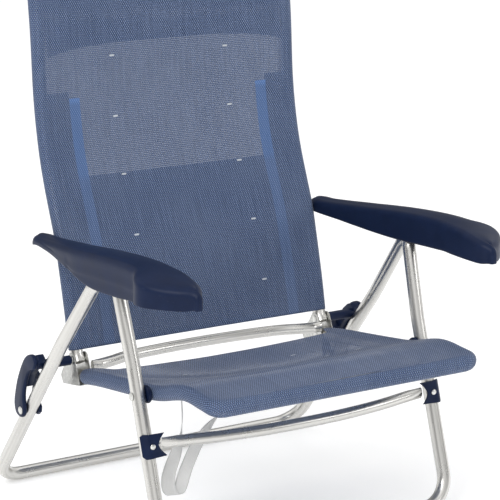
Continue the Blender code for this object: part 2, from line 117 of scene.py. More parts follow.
class ChairFinish(bpy.types.PropertyGroup):
    """Colours of the hard pieces and the strap."""
    metal: FloatVectorProperty(name="Aluminium", description="Colour of the polished tube",
                               subtype="COLOR", size=3, min=0, max=1,
                               default=(0.644, 0.635, 0.609))
    steel: FloatVectorProperty(name="Steel", description="Colour of the pressed fittings",
                               subtype="COLOR", size=3, min=0, max=1,
                               default=(0.60, 0.60, 0.58))
    plastic: FloatVectorProperty(name="Plastic", description="Colour of the moulded parts",
                                 subtype="COLOR", size=3, min=0, max=1,
                                 default=(0.007, 0.014, 0.042))
    strap: FloatVectorProperty(name="Webbing", description="Colour of the strap",
                               subtype="COLOR", size=3, min=0, max=1,
                               default=(0.72, 0.72, 0.71))


# ---------------------------------------------------------------- materials

def new_finish(name, colour, roughness, metallic=0.0):
    """A material with one Principled shader, and its node tree."""
    finish = bpy.data.materials.new(name)
    finish.use_nodes = True
    shader = finish.node_tree.nodes["Principled BSDF"]
    shader.inputs["Base Color"].default_value = (*colour, 1.0)
    shader.inputs["Roughness"].default_value = roughness
    shader.inputs["Metallic"].default_value = metallic
    return finish, finish.node_tree, shader


def feed(tree, socket, value):
    """Connects a socket's value, or sets it from a number or colour."""
    if isinstance(value, bpy.types.NodeSocket):
        tree.links.new(value, socket)
    else:
        socket.default_value = value


def calc(tree, operation, first, second=0.0, third=0.0):
    """The output of one Math node."""
    node = tree.nodes.new("ShaderNodeMath")
    node.operation = operation
    for socket, value in zip(node.inputs, (first, second, third)):
        feed(tree, socket, value)
    return node.outputs[0]


def ramp(tree, value, low, high, out_low=0.0, out_high=1.0):
    """A smooth step of a value from one range to another."""
    node = tree.nodes.new("ShaderNodeMapRange")
    node.interpolation_type = "SMOOTHSTEP"
    for socket, number in zip(node.inputs, (value, low, high, out_low, out_high)):
        feed(tree, socket, number)
    return node.outputs[0]


def mix(tree, share, first, second):
    """Two colours mixed by a share."""
    node = tree.nodes.new("ShaderNodeMix")
    node.data_type = "RGBA"
    feed(tree, node.inputs[0], share)
    feed(tree, node.inputs[6], first)
    feed(tree, node.inputs[7], second)
    return node.outputs[2]


def axes_of(tree, output):
    """The three numbers of a texture coordinate."""
    source = tree.nodes.new("ShaderNodeTexCoord")
    split = tree.nodes.new("ShaderNodeSeparateXYZ")
    tree.links.new(source.outputs[output], split.inputs[0])
    return split.outputs


def place(tree, output, stretch=(1.0, 1.0, 1.0)):
    """Texture coordinates with a stretch along each axis."""
    source = tree.nodes.new("ShaderNodeTexCoord")
    mapping = tree.nodes.new("ShaderNodeMapping")
    mapping.inputs["Scale"].default_value = stretch
    tree.links.new(source.outputs[output], mapping.inputs["Vector"])
    return mapping.outputs["Vector"]


def cloud(tree, vector, scale, detail=3.0, roughness=0.5):
    """A noise value on the given coordinates."""
    node = tree.nodes.new("ShaderNodeTexNoise")
    node.inputs["Scale"].default_value = scale
    node.inputs["Detail"].default_value = detail
    node.inputs["Roughness"].default_value = roughness
    tree.links.new(vector, node.inputs["Vector"])
    return node.outputs["Fac"]


def relief(tree, shader, height, distance, strength=1.0):
    """A bump on the shader."""
    node = tree.nodes.new("ShaderNodeBump")
    node.inputs["Distance"].default_value = distance
    node.inputs["Strength"].default_value = strength
    tree.links.new(height, node.inputs["Height"])
    tree.links.new(node.outputs["Normal"], shader.inputs["Normal"])


def rgba(colour, factor=1.0):
    """A colour, made lighter or darker, with full alpha."""
    return tuple(min(1.0, c * factor) for c in colour) + (1.0,)


def tones(tree, share, colour, low, high):
    """One colour, from darker to lighter by a share."""
    return mix(tree, share, rgba(colour, low), rgba(colour, high))


def polished_tube(colour):
    """Drawn and polished aluminium: fine lines along the tube, faint haze and dull spots."""
    finish, tree, shader = new_finish("polished aluminium", colour, 0.20, 1.0)
    along = place(tree, "UV", (1.0, 0.020, 1.0))
    lines = cloud(tree, along, 900.0, 2.0)
    bands = cloud(tree, along, 160.0, 3.0)
    haze = cloud(tree, place(tree, "Object"), 26.0, 4.0, 0.6)
    spots = cloud(tree, place(tree, "Object"), 420.0, 2.0)
    worn = ramp(tree, spots, 0.66, 0.74)
    tone = tones(tree, ramp(tree, bands, 0.35, 0.65), colour, 0.90, 1.05)
    tone = mix(tree, calc(tree, "MULTIPLY", worn, 0.22), tone, rgba(colour, 0.55))
    tree.links.new(tone, shader.inputs["Base Color"])
    rough = calc(tree, "MULTIPLY_ADD", haze, 0.06, 0.24)
    rough = calc(tree, "MULTIPLY_ADD", lines, 0.015, rough)
    tree.links.new(rough, shader.inputs["Roughness"])
    relief(tree, shader, lines, 0.000004, 0.20)
    return finish


def pressed_steel(colour):
    """Zinc plated sheet: cloudy sheen and fine scratches."""
    finish, tree, shader = new_finish("plated steel", colour, 0.36, 1.0)
    spangle = cloud(tree, place(tree, "Object"), 190.0, 4.0, 0.65)
    scratch = cloud(tree, place(tree, "Object", (1.0, 9.0, 1.0)), 240.0, 2.0)
    tone = tones(tree, ramp(tree, spangle, 0.35, 0.70), colour, 0.80, 1.12)
    tree.links.new(tone, shader.inputs["Base Color"])
    tree.links.new(calc(tree, "MULTIPLY_ADD", spangle, 0.25, 0.24), shader.inputs["Roughness"])
    relief(tree, shader, scratch, 0.00005, 0.5)
    return finish


def moulded(name, colour, roughness=0.42):
    """Moulded plastic: a fine spark texture, cloudy sheen and pale rub marks."""
    finish, tree, shader = new_finish(name, colour, roughness)
    grain = cloud(tree, place(tree, "Object"), 1500.0, 2.0, 0.6)
    sheen = cloud(tree, place(tree, "Object"), 34.0, 3.0)
    rubs = cloud(tree, place(tree, "Object", (1.0, 0.30, 1.0)), 260.0, 4.0, 0.7)
    rubbed = calc(tree, "MULTIPLY", ramp(tree, rubs, 0.60, 0.74), 0.20)
    tone = tones(tree, ramp(tree, sheen, 0.30, 0.70), colour, 0.90, 1.12)
    tone = mix(tree, rubbed, tone, rgba([c + 0.03 for c in colour], 1.5))
    tree.links.new(tone, shader.inputs["Base Color"])
    rough = calc(tree, "MULTIPLY_ADD", sheen, 0.12, roughness - 0.08)
    rough = calc(tree, "MULTIPLY_ADD", rubbed, 0.30, rough)
    tree.links.new(rough, shader.inputs["Roughness"])
    shader.inputs["Specular IOR Level"].default_value = 0.13
    relief(tree, shader, grain, 0.00008, 0.35)
    return finish


def woven_mesh(look, name, welds=False):
    """Open woven mesh on the cloth's own UV map in metres: staggered light picks over a dark
    ground, see-through between the yarns, with solid hems and welded strips."""
    finish, tree, shader = new_finish(name, look.ground, 0.62)
    across, along, _ = axes_of(tree, "UV")
    wobble = cloud(tree, place(tree, "UV"), 55.0, 3.0)
    drift = calc(tree, "MULTIPLY_ADD", wobble, 0.0007, -0.00035)
    turn_u = calc(tree, "MULTIPLY", calc(tree, "ADD", across, drift), 2 * math.pi / look.across)
    turn_v = calc(tree, "MULTIPLY", calc(tree, "ADD", along, drift), 2 * math.pi / look.along)
    lattice = calc(tree, "MULTIPLY", calc(tree, "COSINE", turn_u), calc(tree, "COSINE", turn_v))
    picks = ramp(tree, lattice, 0.02, 0.62)
    pores = ramp(tree, lattice, -0.22, -0.70)
    fibre = cloud(tree, place(tree, "UV", (1.0, 0.25, 1.0)), 1400.0, 2.0)
    shade = cloud(tree, place(tree, "UV"), 9.0, 3.0)
    streak = cloud(tree, place(tree, "UV", (1.0, 0.03, 1.0)), 420.0, 2.0)
    ground = tones(tree, ramp(tree, fibre, 0.3, 0.7), look.ground, 0.80, 1.25)
    pick = tones(tree, ramp(tree, streak, 0.35, 0.65), look.pick, 0.82, 1.22)
    tone = mix(tree, picks, ground, pick)
    tone = mix(tree, calc(tree, "MULTIPLY", ramp(tree, shade, 0.35, 0.70), 0.16), tone,
               rgba(look.pick, 0.75))
    hem = tree.nodes.new("ShaderNodeAttribute")
    hem.attribute_name = "hem"
    solid = hem.outputs["Fac"]
    tone = mix(tree, calc(tree, "MULTIPLY", solid, 0.45), tone, rgba(look.ground, 1.0))
    if welds:
        offset = calc(tree, "SUBTRACT", calc(tree, "ABSOLUTE", across), WELD_X)
        reach = calc(tree, "ABSOLUTE", offset)
        welded = ramp(tree, reach, WELD_HALF, WELD_HALF - 0.0014)
        welded = calc(tree, "MULTIPLY", welded, ramp(tree, along, WELD_TOP, WELD_TOP - 0.002))
        glint = ramp(tree, along, WELD_TOP - 0.014, WELD_TOP - 0.002)
        weld = tones(tree, glint, look.weld, 1.0, 1.5)
        weld = mix(tree, calc(tree, "MULTIPLY", picks, 0.45), weld, rgba(look.pick, 1.2))
        lit = calc(tree, "ADD", calc(tree, "MULTIPLY", ramp(tree, along, 0.02, 0.30), 0.25),
                   calc(tree, "MULTIPLY", ramp(tree, along, *BAND_FOOT), 0.30))
        lit = calc(tree, "ADD", lit, 0.15)
        tone = mix(tree, calc(tree, "MULTIPLY", welded, lit), tone, weld)
        solid = calc(tree, "MAXIMUM", solid, calc(tree, "MULTIPLY", welded, 0.8))
    tree.links.new(tone, shader.inputs["Base Color"])
    open_share = calc(tree, "MULTIPLY_ADD", picks, 0.18, calc(tree, "MULTIPLY", pores, 0.62))
    open_share = calc(tree, "MULTIPLY", open_share, calc(tree, "SUBTRACT", 1.0, solid))
    tree.links.new(calc(tree, "SUBTRACT", 1.0, open_share), shader.inputs["Alpha"])
    tree.links.new(calc(tree, "MULTIPLY_ADD", fibre, 0.22, 0.46), shader.inputs["Roughness"])
    shader.inputs["Sheen Weight"].default_value = 0.12
    shader.inputs["Sheen Roughness"].default_value = 0.45
    shader.inputs["Specular IOR Level"].default_value = 0.30
    relief(tree, shader, calc(tree, "ADD", lattice, calc(tree, "MULTIPLY", fibre, 0.5)),
           0.00022, 0.6)
    return finish


def ribbed_webbing(colour):
    """Woven webbing on the strap's UV map: ribs along it with a fine cross weave."""
    finish, tree, shader = new_finish("woven webbing", colour, 0.75)
    across, along, _ = axes_of(tree, "UV")
    rib = calc(tree, "SINE", calc(tree, "MULTIPLY", across, 2 * math.pi / 0.0022))
    cross = calc(tree, "SINE", calc(tree, "MULTIPLY", along, 2 * math.pi / 0.0016))
    weave = calc(tree, "MULTIPLY_ADD", rib, cross, calc(tree, "MULTIPLY", rib, 0.5))
    soil = cloud(tree, place(tree, "UV"), 60.0, 4.0, 0.6)
    tone = tones(tree, ramp(tree, weave, -1.0, 1.0), colour, 0.86, 1.04)
    tone = mix(tree, calc(tree, "MULTIPLY", ramp(tree, soil, 0.45, 0.75), 0.18), tone,
               rgba(colour, 0.70))
    tree.links.new(tone, shader.inputs["Base Color"])
    shader.inputs["Sheen Weight"].default_value = 0.10
    relief(tree, shader, weave, 0.00025, 0.6)
    return finish


def finishes(context):
    """A maker for every finish, by its short name."""
    cloth = context.scene.chair_cloth
    look = context.scene.chair_finish
    return {
        "tube": lambda: polished_tube(look.metal),
        "steel": lambda: pressed_steel(look.steel),
        "rivet": lambda: pressed_steel([c * 1.25 for c in look.steel]),
        "plastic": lambda: moulded("navy plastic", look.plastic),
        "fitting": lambda: moulded("navy fittings", look.plastic, 0.34),
        "black": lambda: moulded("black plastic", (0.006, 0.006, 0.007)),
        "seat": lambda: woven_mesh(cloth, "seat mesh"),
        "back": lambda: woven_mesh(cloth, "back mesh", welds=True),
        "lining": lambda: woven_mesh(cloth, "lining mesh"),
        "strap": lambda: ribbed_webbing(look.strap),
        "mark": lambda: moulded("pale yarn", (0.44, 0.47, 0.52), 0.70),
    }


MADE = {}


def finish_of(context, key):
    """One shared material by its short name."""
    if key not in MADE:
        MADE[key] = finishes(context)[key]()
    return MADE[key]


# ---------------------------------------------------------------- shapes

def share_of(value, low, high):
    """How far a value has come from low to high, held between 0 and 1."""
    return min(1.0, max(0.0, (value - low) / (high - low)))


def eased(share):
    """A share that starts and ends gently."""
    return share * share * (3 - 2 * share)


def curve_point(a, b, c, d, t):
    """A point between b and c on a Catmull-Rom curve."""
    return 0.5 * ((2 * b) + (c - a) * t + (2 * a - 5 * b + 4 * c - d) * t * t
                  + (3 * b - a - 3 * c + d) * t ** 3)


def grow(bm, edges):
    """Extrudes a chain of edges; gives the new vertices and the new chain."""
    grown = bmesh.ops.extrude_edge_only(bm, edges=edges)["geom"]
    ring = [g for g in grown if isinstance(g, bmesh.types.BMVert)]
    chain = [g for g in grown if isinstance(g, bmesh.types.BMEdge)
             and g.verts[0] in ring and g.verts[1] in ring]
    return ring, chain


def lay_uv(bm, layer):
    """A UV map in metres from a vertex layer."""
    uv = bm.loops.layers.uv.new("UVMap")
    for face in bm.faces:
        for loop in face.loops:
            loop[uv].uv = loop.vert[layer].xy


def round_rims(bm, axis, width, segments=2):
    """Rounds the edges that lie square to an axis."""
    rims = [e for e in bm.edges if abs(e.verts[0].co[axis] - e.verts[1].co[axis]) < 1e-7]
    bmesh.ops.bevel(bm, geom=rims, offset=width, affect="EDGES", segments=segments,
                    profile=0.5, material=-1)


def rounded_path(points, radii, steps=10):
    """A polyline with each inner corner replaced by an arc of the given radius."""
    points = [Vector(p) for p in points]
    out = [points[0]]
    for i in range(1, len(points) - 1):
        here = points[i]
        before = (points[i - 1] - here).normalized()
        after = (points[i + 1] - here).normalized()
        if radii[i] <= 0.0:
            out.append(here)
            continue
        half = before.angle(after) / 2.0
        reach = radii[i] / math.tan(half)
        centre = here + (before + after).normalized() * (radii[i] / math.sin(half))
        first = here + before * reach - centre
        last = here + after * reach - centre
        turn = first.angle(last)
        for k in range(steps + 1):
            a = k / steps
            spoke = first * math.sin((1 - a) * turn) + last * math.sin(a * turn)
            out.append(centre + spoke / math.sin(turn))
    out.append(points[-1])
    return out


def smooth_line(points, parts=4):
    """A Catmull-Rom line through the points."""
    points = [Vector(p) for p in points]
    out = []
    for i in range(len(points) - 1):
        a = points[max(i - 1, 0)]
        b = points[i]
        c = points[i + 1]
        d = points[min(i + 2, len(points) - 1)]
        for k in range(parts):
            out.append(curve_point(a, b, c, d, k / parts))
    out.append(points[-1])
    return out


def mirrored(points):
    """Points of the left half followed by their mirror images in reverse."""
    return list(points) + [Vector((-p[0], p[1], p[2])) for p in reversed(points)]


def carried_frames(path, start):
    """A cross frame at every point of the path, carried along without twist."""
    out = []
    axis = Vector(start)
    for i, point in enumerate(path):
        ahead = path[min(i + 1, len(path) - 1)] - point
        behind = point - path[max(i - 1, 0)]
        along = (ahead.normalized() + behind.normalized()).normalized()
        axis = (axis - along * axis.dot(along)).normalized()
        out.append((axis.copy(), along.cross(axis), along))
    return out


def stand(point, axes, scale=(1.0, 1.0)):
    """The matrix that takes a flat ring to a place on a path."""
    a, b, along = axes
    turn = Matrix((a, b, along)).transposed().to_4x4()
    return Matrix.Translation(point) @ turn @ Matrix.Diagonal((scale[0], scale[1], 1.0, 1.0))


def sweep(path, radius, start=(1, 0, 0), segments=20, scales=None):
    """A round bar along a path, grown ring by ring, with a UV map in metres."""
    path = [Vector(p) for p in path]
    axes = carried_frames(path, start)
    scales = scales or [(1.0, 1.0)] * len(path)
    bm = bmesh.new()
    turn = bm.verts.layers.float.new("turn")
    run = bm.verts.layers.float.new("run")
    ring = bmesh.ops.create_circle(bm, cap_ends=True, radius=radius, segments=segments)["verts"]
    for vert in ring:
        vert[turn] = (math.atan2(vert.co.y, vert.co.x) / (2 * math.pi)) % 1.0
    edges = list(bm.edges)
    last = stand(path[0], axes[0], scales[0])
    bmesh.ops.transform(bm, matrix=last, verts=ring)
    length = 0.0
    for i in range(1, len(path)):
        length += (path[i] - path[i - 1]).length
        ring, edges = grow(bm, edges)
        here = stand(path[i], axes[i], scales[i])
        bmesh.ops.transform(bm, matrix=here @ last.inverted(), verts=ring)
        for vert in ring:
            vert[run] = length
        last = here
    bmesh.ops.contextual_create(bm, geom=edges)
    uv = bm.loops.layers.uv.new("UVMap")
    around = 2 * math.pi * radius
    for face in bm.faces:
        turns = [loop.vert[turn] for loop in face.loops]
        wraps = max(turns) - min(turns) > 0.5
        for loop in face.loops:
            share = loop.vert[turn]
            if wraps and share < 0.5:
                share += 1.0
            loop[uv].uv = (share * around, loop.vert[run])
    return bm


def revolve(profile, y, z, segments=28):
    """A turned piece about an axis along X; the profile is (x, radius) from end to end."""
    bm = bmesh.new()
    verts = [bm.verts.new((x, y, z + r)) for x, r in profile]
    edges = [bm.edges.new(pair) for pair in zip(verts, verts[1:])]
    bmesh.ops.spin(bm, geom=verts + edges, cent=(0, y, z), axis=(1, 0, 0),
                   angle=2 * math.pi, steps=segments, use_merge=True, use_duplicate=False)
    bmesh.ops.remove_doubles(bm, verts=bm.verts, dist=1e-6)
    return bm


def plate(outline, low, high, round_by=0.0008, segments=2):
    """A flat piece with a (y, z) outline between two x values, its edges rounded."""
    bm = bmesh.new()
    face = bm.faces.new([bm.verts.new((low, y, z)) for y, z in outline])
    grown = bmesh.ops.extrude_face_region(bm, geom=[face])["geom"]
    moved = [g for g in grown if isinstance(g, bmesh.types.BMVert)]
    bmesh.ops.translate(bm, vec=(high - low, 0, 0), verts=moved)
    bmesh.ops.recalc_face_normals(bm, faces=bm.faces)
    round_rims(bm, 0, round_by, segments)
    return bm


def rounded_loop(outline, parts=3):
    """A closed outline smoothed through its points."""
    count = len(outline)
    out = []
    for i in range(count):
        a, b, c, d = (Vector(outline[(i + k) % count]) for k in (-1, 0, 1, 2))
        for k in range(parts):
            out.append(tuple(curve_point(a, b, c, d, k / parts)))
    return out


def join(bm, other):
    """Adds another mesh under construction to this one."""
    mesh = bpy.data.meshes.new("joined")
    other.to_mesh(mesh)
    other.free()
    bm.from_mesh(mesh)
    bpy.data.meshes.remove(mesh)
    return bm


def finish_piece(bm, name, material, body, stands_for=(), sharp=38.0):
    """Makes the mesh an object that rides on a body and stands for its CAD nodes."""
    bmesh.ops.recalc_face_normals(bm, faces=bm.faces)
    mesh = bpy.data.meshes.new(name)
    bm.to_mesh(mesh)
    bm.free()
    mesh.polygons.foreach_set("use_smooth", [True] * len(mesh.polygons))
    mesh.set_sharp_from_angle(angle=math.radians(sharp))
    mesh.materials.append(material)
    thing = bpy.data.objects.new(name, mesh)
    bpy.context.scene.collection.objects.link(thing)
    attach(thing, body)
    if stands_for:
        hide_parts(*stands_for)
    return thing


def flip_x(bm, side):
    """Moves a right-hand shape to the left side."""
    if side < 0:
        bmesh.ops.scale(bm, vec=(-1, 1, 1), verts=bm.verts)
        bmesh.ops.reverse_faces(bm, faces=bm.faces)
    return bm


def add_modifier(thing, kind, **values):
    """A modifier with its settings."""
    mod = thing.modifiers.new(kind.title(), kind)
    for key, value in values.items():
        setattr(mod, key, value)
    return mod


# ---------------------------------------------------------------- tubes

def front_leg_path():
    """The front leg loop's centre line, from one top end to the other."""
    y, z = LEG_PIVOT
    half = rounded_path([(-0.2730, y - 0.001, z + 0.012), (-0.2728, y - 0.0035, z - 0.012),
                         (-0.2700, -0.1260, 0.4120), (-0.2650, -0.1595, 0.3000),
                         (-0.2650, -0.2517, 0.0110), (0.0, -0.2517, 0.0110)],
                        (0, 0, 0.06, 0.20, 0.050, 0))[:-1]
    return mirrored(half)


def rear_leg_path():
    """The rear leg loop's centre line, from one top end to the other."""
    y, z = LEG_PIVOT
    half = rounded_path([(-0.2855, y - 0.010, z + 0.012), (-0.2858, y + 0.011, z - 0.013),
                         (-0.2895, -0.0800, 0.4090), (-0.2985, 0.0098, 0.3000),
                         (-0.3000, 0.2530, 0.0110), (0.0, 0.2530, 0.0110)],
                        (0, 0, 0.06, 0.20, 0.045, 0))[:-1]
    return mirrored(half)


def flattened_ends(count):
    """Ring scales of a tube whose two ends are pressed flat."""
    return [PRESSED] * 2 + [(1.0, 1.0)] * (count - 4) + [PRESSED] * 2


class CHAIR_OT_legs(bpy.types.Operator):
    """Build the two U-shaped leg tubes"""
    bl_idname = "chair.legs"
    bl_label = "Legs"

    def execute(self, context):
        radius = context.scene.chair_sizes.tube / 2
        material = finish_of(context, "tube")
        for name, path, body in (("front_leg", front_leg_path(), "front_legs"),
                                 ("rear_leg", rear_leg_path(), "rear_legs")):
            bm = sweep(path, radius, segments=22, scales=flattened_ends(len(path)))
            finish_piece(bm, name, material, body, [name + "_tube"])
        return {"FINISHED"}


class CHAIR_OT_frames(bpy.types.Operator):
    """Build the seat and backrest tubes"""
    bl_idname = "chair.frames"
    bl_label = "Seat and back tubes"

    def execute(self, context):
        radius = context.scene.chair_sizes.tube / 2
        material = finish_of(context, "tube")
        for name, profile, corner, body, node in (
                ("seat_tube", RAIL_PROFILE, SEAT_CORNER, "seat", "seat_frame_tube"),
                ("back_tube", BACK_PROFILE, BACK_CORNER, "backrest", "back_frame_tube")):
            rail = smooth_line([(-RAIL_X, y, z) for y, z in profile[:-1]])
            half = rail + [Vector((-RAIL_X, *profile[-1])), Vector((0.0, *profile[-1]))]
            radii = [0.0] * len(half)
            radii[-2] = corner
            path = mirrored(rounded_path(half, radii)[:-1])
            bm = sweep(path, radius, segments=22)
            finish_piece(bm, name, material, body, [node])
        return {"FINISHED"}


class CHAIR_OT_cross_tubes(bpy.types.Operator):
    """Build the two bowed cross tubes, pressed flat where they are fixed"""
    bl_idname = "chair.cross_tubes"
    bl_label = "Cross tubes"

    def execute(self, context):
        radius = context.scene.chair_sizes.cross / 2
        material = finish_of(context, "tube")
        height = CLAMP_HEIGHT
        seat_y = -0.2075
        half = [(-0.2420, seat_y + 0.006, height), (-0.2340, seat_y + 0.0045, height),
                (-0.2230, seat_y + 0.003, height), (-0.2100, seat_y + 0.001, height),
                (-0.1500, seat_y - 0.010, height - 0.001),
                (-0.0750, seat_y - 0.017, height - 0.002),
                (-0.0200, seat_y - 0.019, height - 0.002)]
        self.bow(half, (0.42, 1.0), "front_cross", radius, material, "front_legs")
        y, z = HINGE
        half = [(-0.2203, y - 0.0200, z - 0.0090), (-0.2150, y - 0.0198, z - 0.0090),
                (-0.2090, y - 0.0195, z - 0.0089), (-0.2020, y - 0.0188, z - 0.0088),
                (-0.1800, y - 0.0130, z - 0.0086), (-0.1400, y - 0.0010, z - 0.0084),
                (-0.0500, y + 0.0070, z - 0.0084)]
        self.bow(half, (0.60, 1.0), "rear_cross", radius, material, "hinge_pins")
        return {"FINISHED"}

    def bow(self, half, pressed, name, radius, material, body):
        """One bowed tube with its ends pressed towards the fixing."""
        path = smooth_line(mirrored([Vector(p) for p in half]), 3)
        scales = []
        for i in range(len(path)):
            share = eased(min(1.0, min(i, len(path) - 1 - i) / 9.0))
            scales.append((pressed[1] + (1 - pressed[1]) * share,
                           pressed[0] + (1 - pressed[0]) * share))
        bm = sweep(path, radius, start=(0, 0, 1), segments=20, scales=scales)
        finish_piece(bm, name, material, body, [name + "_tube"])


# ---------------------------------------------------------------- slings

def stations(profile, parts=8):
    """Distance, point (y, z) and forward direction along a smooth profile."""
    line = [Vector((p.x, p.y)) for p in smooth_line([(y, z, 0) for y, z in profile], parts)]
    out = []
    run = 0.0
    for i, point in enumerate(line):
        ahead = line[min(i + 1, len(line) - 1)] - line[max(i - 1, 0)]
        ahead.normalize()
        if i:
            run += (point - line[i - 1]).length
        out.append((run, point, ahead))
    return out


def at_run(table, run):
    """The point and direction at a distance along the stations."""
    for (r0, p0, d0), (r1, p1, d1) in zip(table, table[1:]):
        if run <= r1:
            t = (run - r0) / (r1 - r0)
            return p0.lerp(p1, t), d0.lerp(d1, t).normalized()
    return table[-1][1] + table[-1][2] * (run - table[-1][0]), table[-1][2]


class SlingShape:
    """The surface of a sling: a sheet inside a U-shaped frame and a sleeve round the tube."""

    def __init__(self, profile, corner, ring, dip, sign):
        self.table = stations(profile)
        self.end = self.table[-1][0]
        self.corner = corner
        self.ring = ring
        self.dip = dip
        self.sign = sign

    def half_width(self, run):
        """Half the width of the frame's centre line at a distance along it."""
        left = self.end - run
        if left >= self.corner:
            return RAIL_X
        left = max(left, 0.0)
        return RAIL_X - self.corner + math.sqrt(max(self.corner ** 2
                                                    - (self.corner - left) ** 2, 0.0))

    def up(self, ahead):
        """The side of the frame that the sheet lies on."""
        return Vector((0.0, -ahead.y * self.sign, ahead.x * self.sign))

    def sheet(self, share, run):
        """A point of the sheet between the rails; share runs from -1 to 1."""
        point, ahead = at_run(self.table, run)
        x = share * self.half_width(run)
        height = self.ring - self.dip(share, run)
        return Vector((x, point.x, point.y)) + self.up(ahead) * height

    def rim(self, share, run):
        """Centre, up and outward directions of the tube at a rim point."""
        point, ahead = at_run(self.table, run)
        x = share * self.half_width(run)
        centre = Vector((x, point.x, point.y))
        forward = Vector((0.0, ahead.x, ahead.y))
        left = self.end - run
        side = math.copysign(1.0, share)
        if left > self.corner - 1e-6:
            out = Vector((side, 0.0, 0.0))
        else:
            flat = abs(x) - (RAIL_X - self.corner)
            rise = self.corner - left
            if flat < 1e-6:
                out = forward.copy()
            else:
                out = (Vector((side * flat, 0, 0)) + forward * rise).normalized()
        return centre, self.up(ahead), out


def build_sling(shape, columns, rows, turn_to, droop, rear_edge):
    """Grid for the sheet, then its rims wrapped round the tube step by step."""
    bm = bmesh.new()
    bmesh.ops.create_grid(bm, x_segments=columns, y_segments=rows, size=1.0)
    uv_place = bm.verts.layers.float_vector.new("cloth_place")
    hem = bm.verts.layers.float.new("hem")
    centres = bm.verts.layers.float_vector.new("centre")
    ups = bm.verts.layers.float_vector.new("up")
    outs = bm.verts.layers.float_vector.new("outward")
    rims = []
    for vert in bm.verts:
        share, rise = vert.co.x, (vert.co.y + 1) / 2
        low = rear_edge(share)
        if rise > 0.999:
            run = shape.end
        else:
            run = low + (shape.end - low) * (1 - (1 - rise) ** 1.15)
        vert.co = shape.sheet(share, run)
        vert[uv_place] = (share * shape.half_width(run), run, 0.0)
        wave = noise.noise(Vector((share * 3.1, run * 11.0, shape.sign * 7.0)))
        edge = (1 - share * share) * min(1.0, (shape.end - run) / 0.05)
        vert.co += shape.up(at_run(shape.table, run)[1]) * wave * 0.0012 * max(edge, 0.0)
        if abs(abs(share) - 1.0) < 1e-5 or rise > 0.999:
            centre, up, out = shape.rim(share, run)
            vert[centres], vert[ups], vert[outs] = centre, up, out
            rims.append(vert)
        if rise < 1e-4:
            vert[hem] = 1.0
    on_rim = set(rims)
    edges = [e for e in bm.edges if e.is_boundary and e.verts[0] in on_rim
             and e.verts[1] in on_rim]
    steps = 12
    for k in range(1, steps + 1):
        turn = math.radians(turn_to) * k / steps
        ring, edges = grow(bm, edges)
        step = shape.ring * math.radians(turn_to) / steps
        for vert in ring:
            centre, up, out = (Vector(vert[layer]) for layer in (centres, ups, outs))
            vert.co = centre + up * (shape.ring * math.cos(turn)) \
                + out * (shape.ring * math.sin(turn))
            vert.co += droop(out, turn)
            flat = Vector(vert[uv_place])
            vert[uv_place] = (flat.x + out.x * step,
                              flat.y + step * math.sqrt(max(0.0, 1 - out.x ** 2)), 0.0)
            vert[hem] = 1.0 if k == steps else 0.0
    lay_uv(bm, uv_place)
    return bm


def no_droop(out, turn):
    """A sleeve that lies close to its tube."""
    return Vector((0, 0, 0))


def lining(shape, corners, depth, columns=24, rows=24, lower_edge=None):
    """A sheet behind the main one between given x values and runs, off it by a depth."""
    left, right, low, high = corners
    bm = bmesh.new()
    bmesh.ops.create_grid(bm, x_segments=columns, y_segments=rows, size=1.0)
    hem = bm.verts.layers.float.new("hem")
    uv_place = bm.verts.layers.float_vector.new("cloth_place")
    for vert in bm.verts:
        across, rise = (vert.co.x + 1) / 2, (vert.co.y + 1) / 2
        x = left + (right - left) * across
        base = low + (lower_edge(x) if lower_edge else 0.0)
        run = base + (high - base) * rise
        ahead = at_run(shape.table, run)[1]
        share = max(-1.0, min(1.0, x / shape.half_width(run)))
        vert.co = shape.sheet(share, run) - shape.up(ahead) * depth(x, run)
        vert.co.x = x
        vert[uv_place] = (x + 0.0013, run + 0.0011, 0.0)
        if rise < 1e-4:
            vert[hem] = 1.0
    lay_uv(bm, uv_place)
    return bm


def back_shape(tube):
    """The backrest's surface."""
    def dip(share, run):
        rise = share_of(run, 0.0, 0.66)
        near_top = share_of(run, 0.66, 0.56)
        depth = 0.004 + 0.010 * math.sin(math.pi * rise)
        return depth * (1 - share * share) * near_top
    return SlingShape(BACK_PROFILE[1:], BACK_CORNER, tube / 2 + CLOTH_LIFT, dip, 1.0)


def seat_shape(tube):
    """The seat's surface: taut over the front, hollow in the middle."""
    def dip(share, run):
        middle = math.sin(math.pi * share_of(run, -0.02, 0.305))
        depth = 0.0015 + 0.0195 * middle * middle
        return depth * (1 - share * share)
    profile = ((0.0500, 0.2279),) + RAIL_PROFILE[1:]
    return SlingShape(profile, 0.016, tube / 2 + CLOTH_LIFT, dip, -1.0)


def finish_cloth(context, bm, name, key, body, stands_for=()):
    """A cloth piece, thickened by a modifier."""
    thing = finish_piece(bm, name, finish_of(context, key), body, stands_for,
                         sharp=80.0)
    add_modifier(thing, "SOLIDIFY", thickness=context.scene.chair_sizes.cloth, offset=0.0)
    return thing


def dashes(shape, spots, size=(0.0090, 0.0030)):
    """Small woven dashes lying on a sling, each a rounded patch."""
    bm = bmesh.new()
    for x, run in spots:
        before = set(bm.verts)
        bmesh.ops.create_circle(bm, cap_ends=True, radius=1.0, segments=14)
        for vert in set(bm.verts) - before:
            lx = max(-1.0, min(1.0, vert.co.x * 1.25)) * size[0] / 2
            ly = max(-1.0, min(1.0, vert.co.y * 1.15)) * size[1] / 2
            r = run + ly
            share = (x + lx) / shape.half_width(r)
            up = shape.up(at_run(shape.table, r)[1])
            vert.co = shape.sheet(share, r) + up * 0.0013
    return bm


def run_at_height(shape, z):
    """Distance along the shape where its frame reaches a height."""
    for (r0, p0, _), (r1, p1, _) in zip(shape.table, shape.table[1:]):
        if p1.y >= z:
            return r0 + (r1 - r0) * (z - p0.y) / (p1.y - p0.y)
    return shape.end


